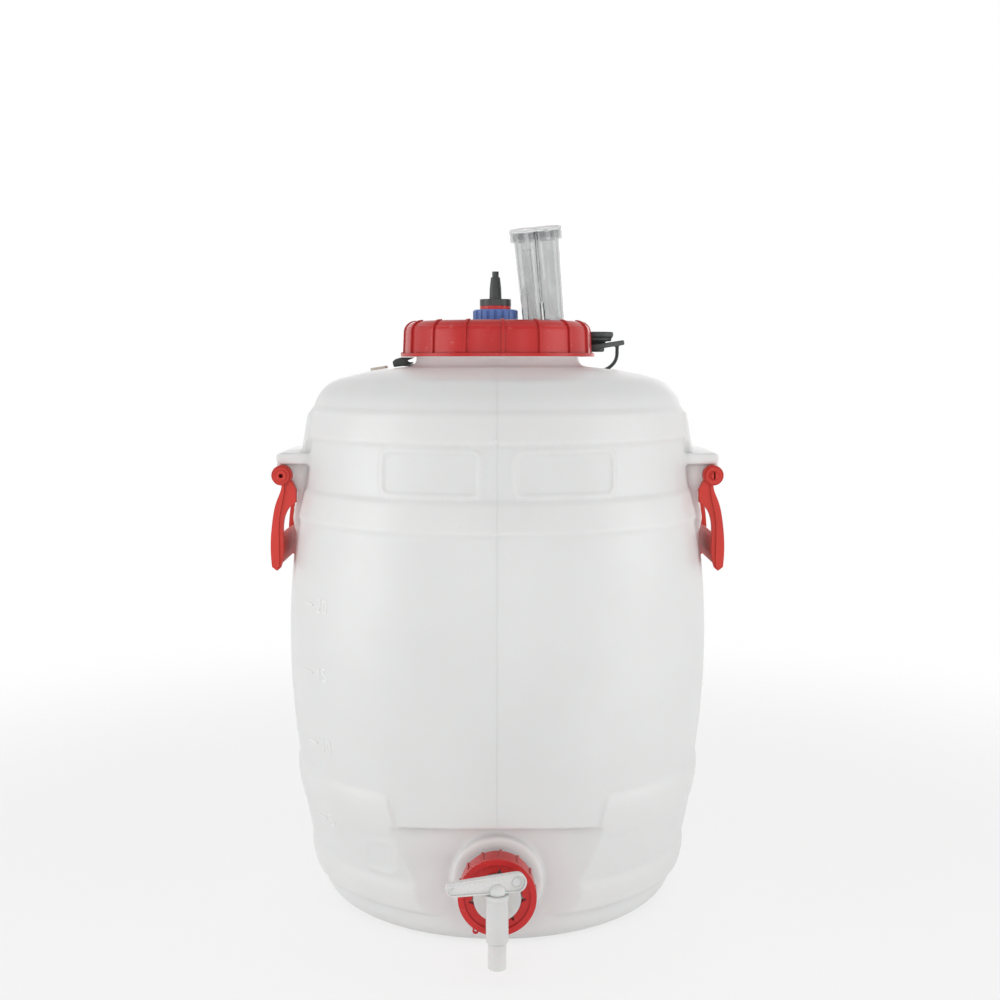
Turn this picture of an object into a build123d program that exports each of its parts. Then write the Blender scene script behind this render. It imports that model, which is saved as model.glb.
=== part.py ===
from build123d import *
import math
import os

# A 30 litre fermenting barrel with a screw lid, an airlock, a vent, a tap and two bail handles.
# Millimetres. The origin is the centre of the base on the floor, +Z is up and the tap faces -Y.

# Barrel: blow-moulded, one wall all round, with four belts and a flat for the tap
belly_r = 171.3
shoulder_h = 430.4
wall = 2.5
foot_in = 47.3
foot_w = 29.0
push_up = 6.0
belt_root = 2.0
neck_r = 66.3
neck_root_r = 73.0
neck_root_rise = 2.2
neck_fillet_h = 8.2
neck_step_h = 11.4
neck_mouth_r = 69.5
neck_mouth_h = 13.0
neck_h = 28.6
neck_edge = 1.0
overrun = 10.0

# Each pair is a radius as a share of belly_r and a height as a share of shoulder_h
side_shares = ((0.8535, 0.0511), (0.9119, 0.1324), (0.9615, 0.2742))
belly_shares = ((0.9615, 0.2742), (1.0, 0.5112), (0.9533, 0.7249))
waist_shares = ((0.9533, 0.7249), (0.9253, 0.7807), (0.8961, 0.8736), (0.8739, 0.9294))
corner_shares = ((0.8739, 0.9294), (0.8385, 0.9603), (0.7315, 0.9851))
corner_lean_share = 0.7
brow_shares = ((0.7315, 0.9851), (0.65, 0.9935), (0.5511, 1.0))
low_belt_shares = (
    ((0.872, 0.0553), (0.889, 0.0604), (0.9037, 0.0836), (0.909, 0.1011), (0.902, 0.1127)),
    ((0.932, 0.1905), (0.947, 0.1963), (0.9644, 0.2277), (0.9708, 0.2486), (0.969, 0.2637), (0.9591, 0.273)),
)
high_belt_shares = (
    ((0.9533, 0.7221), (0.9644, 0.7284), (0.9358, 0.7783), (0.9241, 0.7818)),
    ((0.8949, 0.8713), (0.9101, 0.8771), (0.8861, 0.927), (0.8727, 0.9317)),
)

# Framed panels moulded on the front between the two upper belts
panel_w = 75.0
panel_tall = 35.0
panel_corner_r = 7.0
panel_line = 2.4
panel_proud = 1.2
panel_below = 74.4
panel_left_x = -49.0
panel_right_x = 49.5
mark_panel = 27.0
mark_panel_x = -88.0
mark_panel_z = 66.0

# Tap flat with its brow, and the boss and spout thread the tap screws to
flat_depth = 29.3
flat_half_w = 100.0
flat_side_h = 88.0
flat_crown_h = 97.0
belt_gap_low_w = 146.0
belt_gap_top_w = 168.0
belt_gap_over = 5.0
tap_z = 52.5
boss_r = 34.0
boss_t = 5.0
spout_r = 22.0
spout_bore_r = 17.0
spout_len = 25.0

# Handle lugs on the barrel's sides
lug_half_w = 40.0
lug_depth = 31.3
lug_shares = ((0.97, 0.698), (0.981, 0.72), (0.934, 0.8504), (0.9048, 0.9178), (0.862, 0.9317))
shelf_out = 4.7
shelf_half_w = 47.0
shelf_t = 8.8
shelf_gap = 0.6
shelf_end_r = 3.6
web_out = 5.2
web_below = 13.0
web_slope_w = 9.0
web_slope_h = 6.0

# Handles: two bowed arms, a grip between them and one through pin each
hinge_in = 0.3
hinge_below = 83.4
eye_r = 8.0
eye_boss_r = 6.7
eye_boss_t = 2.2
arm_t = 8.0
arm_step = 1.2
arm_gap = 0.3
web_boss_r = 6.5
web_boss_len = 2.7
pin_r = 2.5
pin_fit = 0.05
pin_head_r = 4.4
pin_head_t = 1.2
pin_hole_r = 1.7
pin_tail_r = 3.8
pin_slot = 1.2
pin_slot_len = 9.0
handle_drop = 77.0
# Points of an arm's edges: outward from the hinge and down, as shares of handle_drop
arm_outer_shares = ((0.005, -0.04), (0.006, -0.14), (0.052, -0.26), (0.101, -0.475), (0.122, -0.7), (0.112, -0.95))
arm_tip_shares = ((0.06, -0.99), (0.03, -0.965))
arm_inner_shares = ((0.01, -0.9), (-0.003, -0.62), (-0.012, -0.47), (-0.05, -0.365), (-0.112, -0.3))
arm_stop_shares = ((-0.14, -0.28), (-0.142, -0.15), (-0.1, -0.06))
arm_flange_shares = ((-0.03, -0.12), (-0.01, -0.26), (0.024, -0.42), (0.037, -0.65), (0.035, -0.93))
arm_edge = 1.2
grip_pocket_w = 4.6
grip_pocket_tall = 13.0
grip_pocket_turn = 42.0
grip_pocket_pitch = 13.5
grip_pockets = 6
grip_pocket_deep = 3.0
grip_shares = ((0.015, -0.82), (0.012, -0.66), (0.03, -0.62), (0.118, -0.68), (0.128, -0.88), (0.05, -0.95))

# Screw lid
lid_fit = 3.5
lid_skirt_t = 3.0
lid_taper = 0.7
lid_flange_w = 3.4
lid_flange_t = 2.6
lid_gap = 10.4
lid_corner_r = 9.0
lid_rim_w = 5.0
lid_recess = 4.1
lid_plate_t = 3.2
lid_rib_count = 16
lid_rib_w = 2.2
lid_rib_proud = 1.5
lid_rib_turn = 3.3
gasket_t = 2.8
gasket_w = 5.0

# Vent in the middle of the lid
vent_x = -1.7
vent_stem_r = 9.0
vent_bore_r = 2.2
vent_fit = 0.4
vent_flange_r = 14.0
vent_flange_t = 2.4
vent_seal_t = 1.8
vent_nut_r = 18.5
vent_nut_t = 13.8
vent_nut_groove_r = 0.9
vent_nut_grooves = 20
vent_ring_r = 12.8
vent_ring_t = 3.0
vent_disc_t = 5.5
vent_cone_r = 5.0
vent_cone_top_r = 3.75
vent_cone_mid_r = 4.75
vent_nut_chamfer = 1.2
vent_cone_h = 17.8
vent_tip_r = 2.7
vent_tip_h = 4.7
vent_pin_r = 1.6
vent_pin_fit = 0.05
vent_pin_len = 12.0

# Airlock: two chambers side by side in one clear moulding, on a stem through a rubber grommet
airlock_x = 38.0
airlock_lean = -5.7
airlock_nod = 12.0
grommet_r = 9.0
grommet_flange_r = 12.0
grommet_flange_t = 2.0
stem_r = 5.0
stem_fit = 0.05
stem_below = 3.0
chamber_pitch = 17.3
chamber_low_r = 8.4
chamber_top_r = 9.7
chamber_wall = 1.1
chamber_h = 74.0
chamber_lift = 4.6
riser_r = 4.0
riser_share = 0.8
passage_w = 4.0
passage_h = 14.0
cap_r = 12.6
cap_h = 9.0
cap_top_t = 1.4
cap_skirt_t = 1.5
cap_hole_r = 1.6

# Tap: a horizontal barrel into an upright housing with a turning plug
tap_gasket_t = 2.5
tap_flange_r = 21.5
tap_flange_t = 3.5
tap_disc_r = 17.2
tap_disc_t = 7.5
nut_r = 28.5
nut_len = 21.0
nut_web_t = 6.0
nut_hole_r = 18.0
nut_fit = 0.4
nut_band_t = 5.0
nut_rib_count = 13
nut_rib_proud = 1.0
nut_rib_w = 1.8
nut_step_r = 24.0
nut_step_t = 1.2
nut_notch = 3.4
nut_notch_turns = (-5.0, 85.0, 191.0, 305.0)
nut_tab_r = 2.3
nut_tab_hole_r = 1.1
nut_tab_t = 2.0
nut_tab_turn = 238.0
tap_tube_len = 22.5
housing_r = 7.95
housing_top = 65.0
housing_bottom = 30.0
housing_collar_t = 3.6
housing_collar_proud = 0.5
housing_chamfer = 1.0
tap_tube_r = 6.6
tap_bore_r = 4.0
plug_r = 5.6
plug_fit = 0.06
nozzle_r = 6.5
nozzle_bottom = 11.4
nozzle_bore_r = 4.6
plug_bore_top = 57.0
plug_port_r = 3.0
spigot = 5.4
spigot_h = 5.0
oring_t = 1.2
oring_z = 38.0
lever_turn = 13.0
tap_open = 90.0
dome_r = 6.1
dome_lift = 1.6
lever_gap = 0.3
lever_t = 4.6
lever_long = 32.0
lever_short = 14.0
lever_long_r = 5.0
lever_short_r = 7.0
lever_z = 72.6
lever_long_drop = 1.4
lever_rim = 1.2
lever_recess = 1.3
lever_dot_r = 1.1
lever_ring_r = 3.7
lever_ring_w = 0.6
lever_mark_t = 0.7

# Captive rubber stopper on its strap, behind and beside the lid
strap_r = 1.65
strap_clear = 0.3
strap_bend_share = 0.45
# The strap's route from the hook, round behind the neck and up to the ring: X, Y and rise above the shoulder
strap_route = (
    (-80.0, 1.0, 4.6), (-79.0, 36.0, 4.0), (-70.0, 76.0, 2.6), (-44.0, 110.0, -1.6), (-4.0, 126.0, -4.2),
    (38.0, 122.5, -4.8), (74.0, 108.0, -5.4), (97.0, 92.0, -1.2), (104.0, 71.0, 7.5), (102.5, 50.5, 20.8),
)
stopper_out = 11.0
stopper_y = 50.0
stopper_lift = 23.6
stopper_r = 15.0
stopper_t = 4.6
stopper_step_r = 13.4
stopper_step_t = 3.4
stopper_plug_r = 8.2
stopper_plug_tip_r = 7.2
stopper_plug_len = 9.0
ring_band = 2.6
ring_t = 4.2
ring_tilt = 9.0
ring_hole_fit = 1.6
ring_tab_x = 19.0
ring_tab_r = 5.5
ring_drop = 2.6
hook_w = 20.0
hook_h = 8.2
hook_t = 6.0
hook_lift = 1.6
# The hook's outline round its notch: out from the neck and up, as shares of hook_w and hook_h
hook_shares = (
    (1.0, 0.57), (0.95, 0.03), (0.42, 0.17), (0.22, 0.36), (0.1, 0.58), (0.26, 0.5),
    (0.42, 0.66), (0.24, 0.83), (0.08, 1.0), (0.64, 1.0), (0.88, 0.83),
)
anchor_out = 17.3
anchor_len = 14.0
anchor_w = 12.0
anchor_t = 2.0
anchor_slope = 9.0

os.makedirs("parts", exist_ok=True)


def save(piece, name):
    """Labels a finished piece and writes its file."""
    piece.part.label = name
    export_step(piece.part, "parts/" + name + ".step")


def spread(shares):
    """Barrel outline shares as real radii and heights."""
    return [(r * belly_r, z * shoulder_h) for r, z in shares]


def turned(plane, *points):
    """A closed outline of (radius, height) points on a plane through its turning axis."""
    with BuildSketch(plane) as outline:
        with BuildLine():
            Polyline(*points, close=True)
        make_face()
    return outline.sketch


def rounded_frame(plane, width, height, corner, line):
    """A rounded rectangle drawn as a narrow band."""
    with BuildSketch(plane) as band:
        RectangleRounded(width, height, corner)
        RectangleRounded(width - 2 * line, height - 2 * line, corner - line, mode=Mode.SUBTRACT)
    return band.sketch


def upright_axis(x, y):
    return Axis((x, y, 0), (0, 0, 1))


def upright_plane(x, y):
    """A plane through an upright axis: its X is the radius and its Y the height."""
    return Plane(origin=(x, y, 0), x_dir=(1, 0, 0), z_dir=(0, -1, 0))


def side_plane(side):
    """Upright plane whose X points out of the barrel's right (1) or left (-1) side."""
    return Plane(origin=(0, 0, 0), x_dir=(side, 0, 0), z_dir=(0, -side, 0))


# Places worked out from the sizes above
foot_r = belly_r - foot_in
foot_inner_r = foot_r - foot_w
flat_y = belly_r - flat_depth
lug_root_r = belly_r - lug_depth
shelf_x = belly_r + shelf_out
web_x = belly_r + web_out
hinge_x = belly_r - hinge_in
hinge_z = shoulder_h - hinge_below
panel_z = shoulder_h - panel_below
spout_end = flat_y + spout_len
neck_top = shoulder_h + neck_h
lid_plate_low = neck_top + gasket_t
lid_plate_top = lid_plate_low + lid_plate_t
lid_top = lid_plate_top + lid_recess
lid_low = shoulder_h + lid_gap
lid_bore_r = neck_mouth_r + lid_fit
lid_skirt_r = lid_bore_r + lid_skirt_t
lid_flange_r = lid_skirt_r + lid_flange_w
boss_face = flat_y + boss_t
low_axis = Plane(origin=(0, 0, tap_z), x_dir=(1, 0, 0), z_dir=(0, 0, -1))


def barrel_outline(inset, top):
    """Half section of the barrel on the +X side of its axis, moved in by inset and closed at top."""
    neck_root_z = shoulder_h + neck_root_rise - inset
    corner = spread(corner_shares)
    corner_mid = (corner[1][0] - inset * corner_lean_share, corner[1][1] - inset * corner_lean_share)
    brow = [(r, z - inset) for r, z in spread(brow_shares)]
    side = [(r - inset, z) for r, z in spread(side_shares)]
    with BuildSketch(Plane.XZ) as half:
        with BuildLine():
            Polyline(
                (0, push_up + inset),
                (foot_inner_r - push_up, push_up + inset),
                (foot_inner_r + inset / 2, inset),
                (foot_r, inset),
            )
            TangentArc((foot_r, inset), side[0], tangent=(1, 0))
            ThreePointArc(*side)
            ThreePointArc(*[(r - inset, z) for r, z in spread(belly_shares)])
            Polyline(*[(r - inset, z) for r, z in spread(waist_shares)])
            ThreePointArc((corner[0][0] - inset, corner[0][1]), corner_mid, brow[0])
            ThreePointArc(*brow)
            Line(brow[-1], (neck_root_r, neck_root_z))
            TangentArc((neck_root_r, neck_root_z), (neck_r - inset, shoulder_h + neck_fillet_h), tangent=(-1, 0))
            Polyline(
                (neck_r - inset, shoulder_h + neck_fillet_h),
                (neck_r - inset, shoulder_h + neck_step_h),
                (neck_mouth_r - inset, shoulder_h + neck_mouth_h),
                (neck_mouth_r - inset, top - neck_edge),
                (neck_mouth_r - neck_edge - inset, top),
                (0, top),
                (0, push_up + inset),
            )
        make_face()
    return half.sketch


def belt(shares):
    """A belt's section: its outer points as shares, closed inside the wall."""
    outer = spread(shares)
    root = [(outer[-1][0] - belt_root, outer[-1][1]), (outer[0][0] - belt_root, outer[0][1])]
    return turned(Plane.XZ, *outer, *root)


def tap_flat(raised):
    """Front view of the flat, with its curved brow."""
    side_h = flat_side_h + raised
    with BuildSketch(Plane.XZ.offset(flat_y - raised)) as front:
        with BuildLine():
            Polyline(
                (flat_half_w, side_h),
                (flat_half_w, -overrun),
                (-flat_half_w, -overrun),
                (-flat_half_w, side_h),
            )
            ThreePointArc((-flat_half_w, side_h), (0, flat_crown_h + raised), (flat_half_w, side_h))
        make_face()
    return front.sketch


def lug_outline(inset):
    """Half section of the pads under the handles, moved in by inset."""
    face = [(r - inset, z) for r, z in spread(lug_shares)]
    low, high = face[0][1] + inset, face[-1][1] - inset
    return turned(
        Plane.XZ, (lug_root_r, low), (face[0][0], low), *face[1:-1], (face[-1][0], high), (lug_root_r, high)
    )


def make_lugs(inset):
    """Both pads: a ring about the barrel's axis, cut to its two sides."""
    with BuildPart(mode=Mode.PRIVATE) as lugs:
        revolve(lug_outline(inset), axis=Axis.Z)
        with BuildSketch(Plane.XY):
            Rectangle(4 * belly_r, 2 * (lug_half_w - inset))
        extrude(amount=shoulder_h, mode=Mode.INTERSECT)
    return lugs.part


def shelf_outline(side):
    """Side view of the shelf over the hinge and the web that carries the pin."""
    shelf_low = hinge_z + eye_r + shelf_gap
    with BuildSketch(side_plane(side)) as view:
        with BuildLine():
            Polyline(
                (lug_root_r, shelf_low),
                (shelf_x, shelf_low),
                (shelf_x, shelf_low + shelf_t),
                (lug_root_r, shelf_low + shelf_t),
                close=True,
            )
        make_face()
        fillet(view.vertices().group_by(Axis.X)[-1], shelf_end_r)
    return view.sketch


def web_outline(side):
    shelf_low = hinge_z + eye_r + shelf_gap
    web_low = hinge_z - web_below
    with BuildSketch(side_plane(side)) as view:
        with BuildLine():
            Polyline(
                (lug_root_r, web_low),
                (web_x - web_slope_w, web_low),
                (web_x, web_low + web_slope_h),
                (web_x, shelf_low),
                (lug_root_r, shelf_low),
                close=True,
            )
        make_face()
    return view.sketch


def hinge_disc(side, offset_y, radius):
    """A disc round the hinge line, at a distance along it."""
    with BuildSketch(side_plane(side).offset(offset_y)) as disc:
        with Locations((hinge_x, hinge_z)):
            Circle(radius)
    return disc.sketch


# The lowest belt runs into the tap flat, and the one over it stops short of the flat's brow
gap_low, gap_top = spread(low_belt_shares[1])[0][1], spread(low_belt_shares[1])[-1][1]
with BuildPart() as low_belts:
    for shares in low_belt_shares:
        revolve(belt(shares), axis=Axis.Z)
    with BuildSketch(Plane.XZ.offset(spout_bore_r)):
        with BuildLine():
            Polyline(
                (-belt_gap_low_w / 2, gap_low - belt_gap_over),
                (belt_gap_low_w / 2, gap_low - belt_gap_over),
                (belt_gap_top_w / 2, gap_top + belt_gap_over),
                (-belt_gap_top_w / 2, gap_top + belt_gap_over),
                close=True,
            )
        make_face()
    extrude(amount=belly_r, mode=Mode.SUBTRACT)

# Panel frames stand proud of the barrel's own surface
with BuildPart() as panels:
    for x, z, width, tall in (
        (panel_left_x, panel_z, panel_w, panel_tall),
        (panel_right_x, panel_z, panel_w, panel_tall),
        (mark_panel_x, mark_panel_z, mark_panel, mark_panel),
    ):
        place = Plane(origin=(x, -flat_y / 2, z), x_dir=(1, 0, 0), z_dir=(0, -1, 0))
        extrude(rounded_frame(place, width, tall, panel_corner_r, panel_line), amount=belly_r)
    skin_shares = waist_shares[1:3]
    skin = spread(skin_shares)
    upper = [(r + panel_proud, z) for r, z in skin] + [(r - wall / 2, z) for r, z in reversed(skin)]
    with BuildPart(mode=Mode.PRIVATE) as band:
        revolve(turned(Plane.XZ, *upper), axis=Axis.Z)
        low = spread(side_shares)
        with BuildSketch(Plane.XZ) as low_skin:
            with BuildLine():
                ThreePointArc(*[(r + panel_proud, z) for r, z in low])
                Line((low[2][0] + panel_proud, low[2][1]), (low[2][0] - wall / 2, low[2][1]))
                ThreePointArc(*[(r - wall / 2, z) for r, z in reversed(low)])
                Line((low[0][0] - wall / 2, low[0][1]), (low[0][0] + panel_proud, low[0][1]))
            make_face()
        revolve(axis=Axis.Z)
    add(band.part, mode=Mode.INTERSECT)

# What the wall encloses
with BuildPart() as cavity:
    revolve(barrel_outline(wall, neck_top + overrun), axis=Axis.Z)
    extrude(tap_flat(wall), amount=belly_r, mode=Mode.SUBTRACT)
    add(make_lugs(wall))

with BuildPart() as barrel:
    revolve(barrel_outline(0, neck_top), axis=Axis.Z)
    add(low_belts.part)
    for shares in high_belt_shares:
        revolve(belt(shares), axis=Axis.Z)
    add(make_lugs(0))
    for side in (1, -1):
        extrude(shelf_outline(side), amount=shelf_half_w, both=True)
        extrude(web_outline(side), amount=lug_half_w, both=True)
    add(panels.part)
    extrude(tap_flat(0), amount=belly_r, mode=Mode.SUBTRACT)
    revolve(
        turned(low_axis, (0, flat_y - wall), (boss_r, flat_y - wall), (boss_r, boss_face), (0, boss_face)),
        axis=Axis((0, 0, tap_z), (0, -1, 0)),
    )
    revolve(
        turned(low_axis, (0, boss_face), (spout_r, boss_face), (spout_r, spout_end), (0, spout_end)),
        axis=Axis((0, 0, tap_z), (0, -1, 0)),
    )
    add(cavity.part, mode=Mode.SUBTRACT)
    for side in (1, -1):
        for facing in (1, -1):
            extrude(hinge_disc(side, facing * lug_half_w, web_boss_r), amount=facing * web_boss_len)
        extrude(hinge_disc(side, 0, pin_r), amount=shelf_half_w, both=True, mode=Mode.SUBTRACT)
    with BuildSketch(Plane.XZ.offset(flat_y - boss_r)):
        with Locations((0, tap_z)):
            Circle(spout_bore_r)
    extrude(amount=boss_r + spout_len + overrun, mode=Mode.SUBTRACT)
save(barrel, "barrel")

inside_litres = cavity.part.volume / 1000000
print("litres to the brim", round(inside_litres, 1))


def grip_face(shares):
    """Points outward from the hinge and down, as real places on a side plane."""
    return [(hinge_x + x * handle_drop, hinge_z + z * handle_drop) for x, z in shares]


def arm_outline(side):
    """One bowed arm: a bar that bends outward, with a stop at its top that points to the barrel."""
    outer, inner = grip_face(arm_outer_shares), grip_face(arm_inner_shares)
    with BuildSketch(side_plane(side)) as arm:
        with BuildLine():
            Spline(*outer)
            Polyline(outer[-1], *grip_face(arm_tip_shares), inner[0])
            Spline(*inner)
            Polyline(inner[-1], *grip_face(arm_stop_shares), outer[0])
        make_face()
        fillet(arm.vertices().group_by(Axis.Y)[0], arm_edge)
        with Locations((hinge_x, hinge_z)):
            Circle(eye_r)
    return arm.sketch


def flange_outline(side):
    """The raised outer band of an arm."""
    outer, inner = grip_face(arm_outer_shares), grip_face(arm_flange_shares)
    with BuildSketch(side_plane(side)) as band:
        with BuildLine():
            Spline(*outer)
            Polyline(outer[-1], grip_face(arm_tip_shares)[0], inner[-1])
            Spline(*reversed(inner))
            Line(inner[0], outer[0])
        make_face()
        with Locations((hinge_x, hinge_z)):
            Circle(eye_r)
    return band.sketch


arm_in = lug_half_w + web_boss_len + arm_gap
arm_out = arm_in + arm_t


def make_handle(side):
    with BuildPart() as handle:
        for facing in (1, -1):
            extrude(arm_outline(side), amount=facing * (arm_out - arm_step))
            extrude(flange_outline(side), amount=facing * arm_out)
            extrude(hinge_disc(side, facing * arm_out, eye_boss_r), amount=facing * eye_boss_t)
        with BuildSketch(side_plane(side)) as between:
            with Locations((hinge_x, hinge_z - handle_drop / 2)):
                Rectangle(handle_drop, 2 * handle_drop)
        extrude(amount=arm_in, both=True, mode=Mode.SUBTRACT)
        grip_points = grip_face(grip_shares)
        with BuildSketch(side_plane(side)) as grip:
            with BuildLine():
                Polyline(*grip_points, close=True)
            make_face()
        extrude(amount=arm_in + arm_t / 2, both=True)
        pocket_x = grip_points[0][0]
        pocket_z = (grip_points[0][1] + grip_points[1][1]) / 2
        pocket_plane = Plane(origin=(side * pocket_x, 0, pocket_z), x_dir=(0, side, 0), z_dir=(side, 0, 0))
        with BuildSketch(pocket_plane):
            with GridLocations(grip_pocket_pitch, 0, grip_pockets, 1):
                Rectangle(grip_pocket_w, grip_pocket_tall, rotation=grip_pocket_turn)
        extrude(amount=grip_pocket_deep, mode=Mode.SUBTRACT)
        extrude(hinge_disc(side, 0, pin_r + pin_fit), amount=arm_out + overrun, both=True, mode=Mode.SUBTRACT)
    return handle


def make_handle_pin(side):
    """A headed pin with a split tail, through both arms and the web between them."""
    plane = side_plane(side)
    head = arm_out + eye_boss_t + arm_gap
    with BuildPart() as pin:
        extrude(hinge_disc(side, -head, pin_r), amount=2 * head)
        extrude(hinge_disc(side, -head, pin_head_r), amount=-pin_head_t)
        with BuildSketch(plane.offset(head)):
            with Locations((hinge_x, hinge_z)):
                Circle(pin_tail_r)
        with BuildSketch(plane.offset(head + pin_tail_r)):
            with Locations((hinge_x, hinge_z)):
                Circle(pin_r)
        loft()
        with BuildSketch(plane.offset(head + pin_tail_r)):
            with Locations((hinge_x, hinge_z)):
                Rectangle(pin_slot, 2 * pin_tail_r)
        extrude(amount=-pin_slot_len, mode=Mode.SUBTRACT)
        extrude(hinge_disc(side, -head - pin_head_t, pin_hole_r), amount=pin_slot_len, mode=Mode.SUBTRACT)
    return pin


for side, word in ((1, "right"), (-1, "left")):
    save(make_handle(side), "handle_" + word)
    save(make_handle_pin(side), "handle_pin_" + word)

# Lid: a cup with a flange, grip ribs over its top corner and a sunk plate
rim_in = lid_skirt_r - lid_taper - lid_corner_r - lid_rim_w
corner_z = lid_top - lid_corner_r


def lid_corner(proud):
    """The skirt's outside and top corner, moved out by proud, closed inside the skirt."""
    skirt = lid_skirt_r + proud
    top = lid_skirt_r - lid_taper + proud
    with BuildSketch(Plane.XZ) as section:
        with BuildLine():
            Line((skirt, lid_low + lid_flange_t), (top, corner_z))
            TangentArc((top, corner_z), (top - lid_corner_r - proud, lid_top + proud / 2), tangent=(0, 1))
            Polyline(
                (top - lid_corner_r - proud, lid_top + proud / 2),
                (top - lid_corner_r - proud, lid_plate_low),
                (lid_bore_r + lid_taper, lid_plate_low),
                (lid_bore_r + lid_taper, lid_low + lid_flange_t),
                (skirt, lid_low + lid_flange_t),
            )
        make_face()
    return section.sketch


with BuildPart() as lid:
    revolve(lid_corner(0), axis=Axis.Z)
    revolve(
        turned(
            Plane.XZ,
            (lid_bore_r, lid_low),
            (lid_flange_r, lid_low),
            (lid_flange_r, lid_low + lid_flange_t),
            (lid_bore_r + lid_skirt_t / 2, lid_low + lid_flange_t),
            (lid_bore_r + lid_skirt_t / 2, lid_top - lid_corner_r / 2),
            (lid_skirt_r - lid_corner_r, lid_top),
            (rim_in, lid_top),
            (rim_in, lid_plate_top),
            (0, lid_plate_top),
            (0, lid_plate_low),
            (lid_bore_r, lid_plate_low),
        ),
        axis=Axis.Z,
    )
    with PolarLocations(0, lid_rib_count, start_angle=lid_rib_turn + 90):
        add(extrude(lid_corner(lid_rib_proud), amount=lid_rib_w / 2, both=True, mode=Mode.PRIVATE))
    with BuildSketch(Plane.XY.offset(lid_plate_low)):
        with Locations((vent_x, 0)):
            Circle(vent_stem_r + vent_fit)
        with Locations((airlock_x, 0)):
            Circle(grommet_r)
    extrude(amount=lid_plate_t, mode=Mode.SUBTRACT)
save(lid, "lid")

with BuildPart() as lid_gasket:
    with BuildSketch(Plane.XY.offset(neck_top)):
        Circle(neck_mouth_r - neck_edge)
        Circle(neck_mouth_r - neck_edge - gasket_w, mode=Mode.SUBTRACT)
    extrude(amount=gasket_t)
save(lid_gasket, "lid_gasket")

# Vent: a flanged stem clamped through the lid by a ridged nut, with a ring and a nozzle on top
seal_low = lid_plate_low - vent_seal_t
nut_top = lid_plate_top + vent_nut_t
ring_top = nut_top + vent_ring_t
disc_top = ring_top + vent_disc_t
cone_top = disc_top + vent_cone_h
vent_axis = upright_axis(vent_x, 0)
vent_plane = upright_plane(vent_x, 0)

with BuildPart() as vent_stem:
    revolve(
        turned(
            vent_plane,
            (vent_bore_r, seal_low - vent_flange_t),
            (vent_flange_r, seal_low - vent_flange_t),
            (vent_flange_r, seal_low),
            (vent_stem_r, seal_low),
            (vent_stem_r, nut_top),
            (vent_bore_r, nut_top),
        ),
        axis=vent_axis,
    )
save(vent_stem, "vent_stem")

with BuildPart() as vent_seal:
    revolve(
        turned(
            vent_plane,
            (vent_stem_r, seal_low),
            (vent_flange_r, seal_low),
            (vent_flange_r, lid_plate_low),
            (vent_stem_r, lid_plate_low),
        ),
        axis=vent_axis,
    )
save(vent_seal, "vent_seal")

with BuildPart() as vent_nut:
    with BuildSketch(Plane.XY.offset(lid_plate_top)):
        with Locations((vent_x, 0)):
            Circle(vent_nut_r)
            Circle(vent_stem_r, mode=Mode.SUBTRACT)
            with PolarLocations(vent_nut_r, vent_nut_grooves):
                Circle(vent_nut_groove_r, mode=Mode.SUBTRACT)
    extrude(amount=vent_nut_t)
    revolve(
        turned(
            vent_plane,
            (vent_nut_r - vent_nut_chamfer, nut_top),
            (vent_nut_r, nut_top - vent_nut_chamfer),
            (vent_nut_r + vent_nut_chamfer, nut_top - vent_nut_chamfer),
            (vent_nut_r + vent_nut_chamfer, nut_top),
        ),
        axis=vent_axis,
        mode=Mode.SUBTRACT,
    )
save(vent_nut, "vent_nut")

with BuildPart() as vent_ring:
    with BuildSketch(Plane.XY.offset(nut_top)):
        with Locations((vent_x, 0)):
            Circle(vent_ring_r)
            Circle(vent_bore_r, mode=Mode.SUBTRACT)
    extrude(amount=vent_ring_t)
save(vent_ring, "vent_ring")

with BuildPart() as vent_nozzle:
    revolve(
        turned(
            vent_plane,
            (vent_pin_r + vent_pin_fit, ring_top),
            (vent_ring_r, ring_top),
            (vent_ring_r, disc_top),
            (vent_cone_r, disc_top),
            (vent_cone_mid_r, (disc_top + cone_top) / 2),
            (vent_cone_top_r, cone_top),
            (vent_pin_r + vent_pin_fit, cone_top),
        ),
        axis=vent_axis,
    )
save(vent_nozzle, "vent_nozzle")

with BuildPart() as vent_tip:
    revolve(
        turned(
            vent_plane,
            (0, cone_top - vent_pin_len),
            (vent_pin_r, cone_top - vent_pin_len),
            (vent_pin_r, cone_top),
            (vent_tip_r, cone_top),
            (vent_tip_r, cone_top + vent_tip_h),
            (0, cone_top + vent_tip_h),
        ),
        axis=vent_axis,
    )
save(vent_tip, "vent_tip")

# Airlock, on its own leaning axis through the grommet
lean_tan = math.tan(math.radians(airlock_lean))
nod_tan = math.tan(math.radians(airlock_nod))
airlock_plane = Plane(
    origin=(airlock_x, 0, lid_plate_top), x_dir=(1, 0, -lean_tan), z_dir=(lean_tan, -nod_tan, 1)
)


def airlock_disc(height, radius):
    with BuildSketch(airlock_plane.offset(height)) as disc:
        Circle(radius)
    return disc.sketch


def twin(height, radius):
    """Figure of eight across the leaning axis, its two circles joined by a straight waist."""
    with BuildSketch(airlock_plane.offset(height)) as eight:
        with GridLocations(chamber_pitch, 0, 2, 1):
            Circle(radius)
        Rectangle(chamber_pitch, radius)
    return eight.sketch


def chamber(x, height, low_r, top_r, tall):
    """One tapered round solid of the airlock."""
    with BuildPart() as cone:
        with BuildSketch(airlock_plane.offset(height)):
            with Locations((x, 0)):
                Circle(low_r)
        with BuildSketch(airlock_plane.offset(height + tall)):
            with Locations((x, 0)):
                Circle(top_r)
        loft()
    return cone.part


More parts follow.
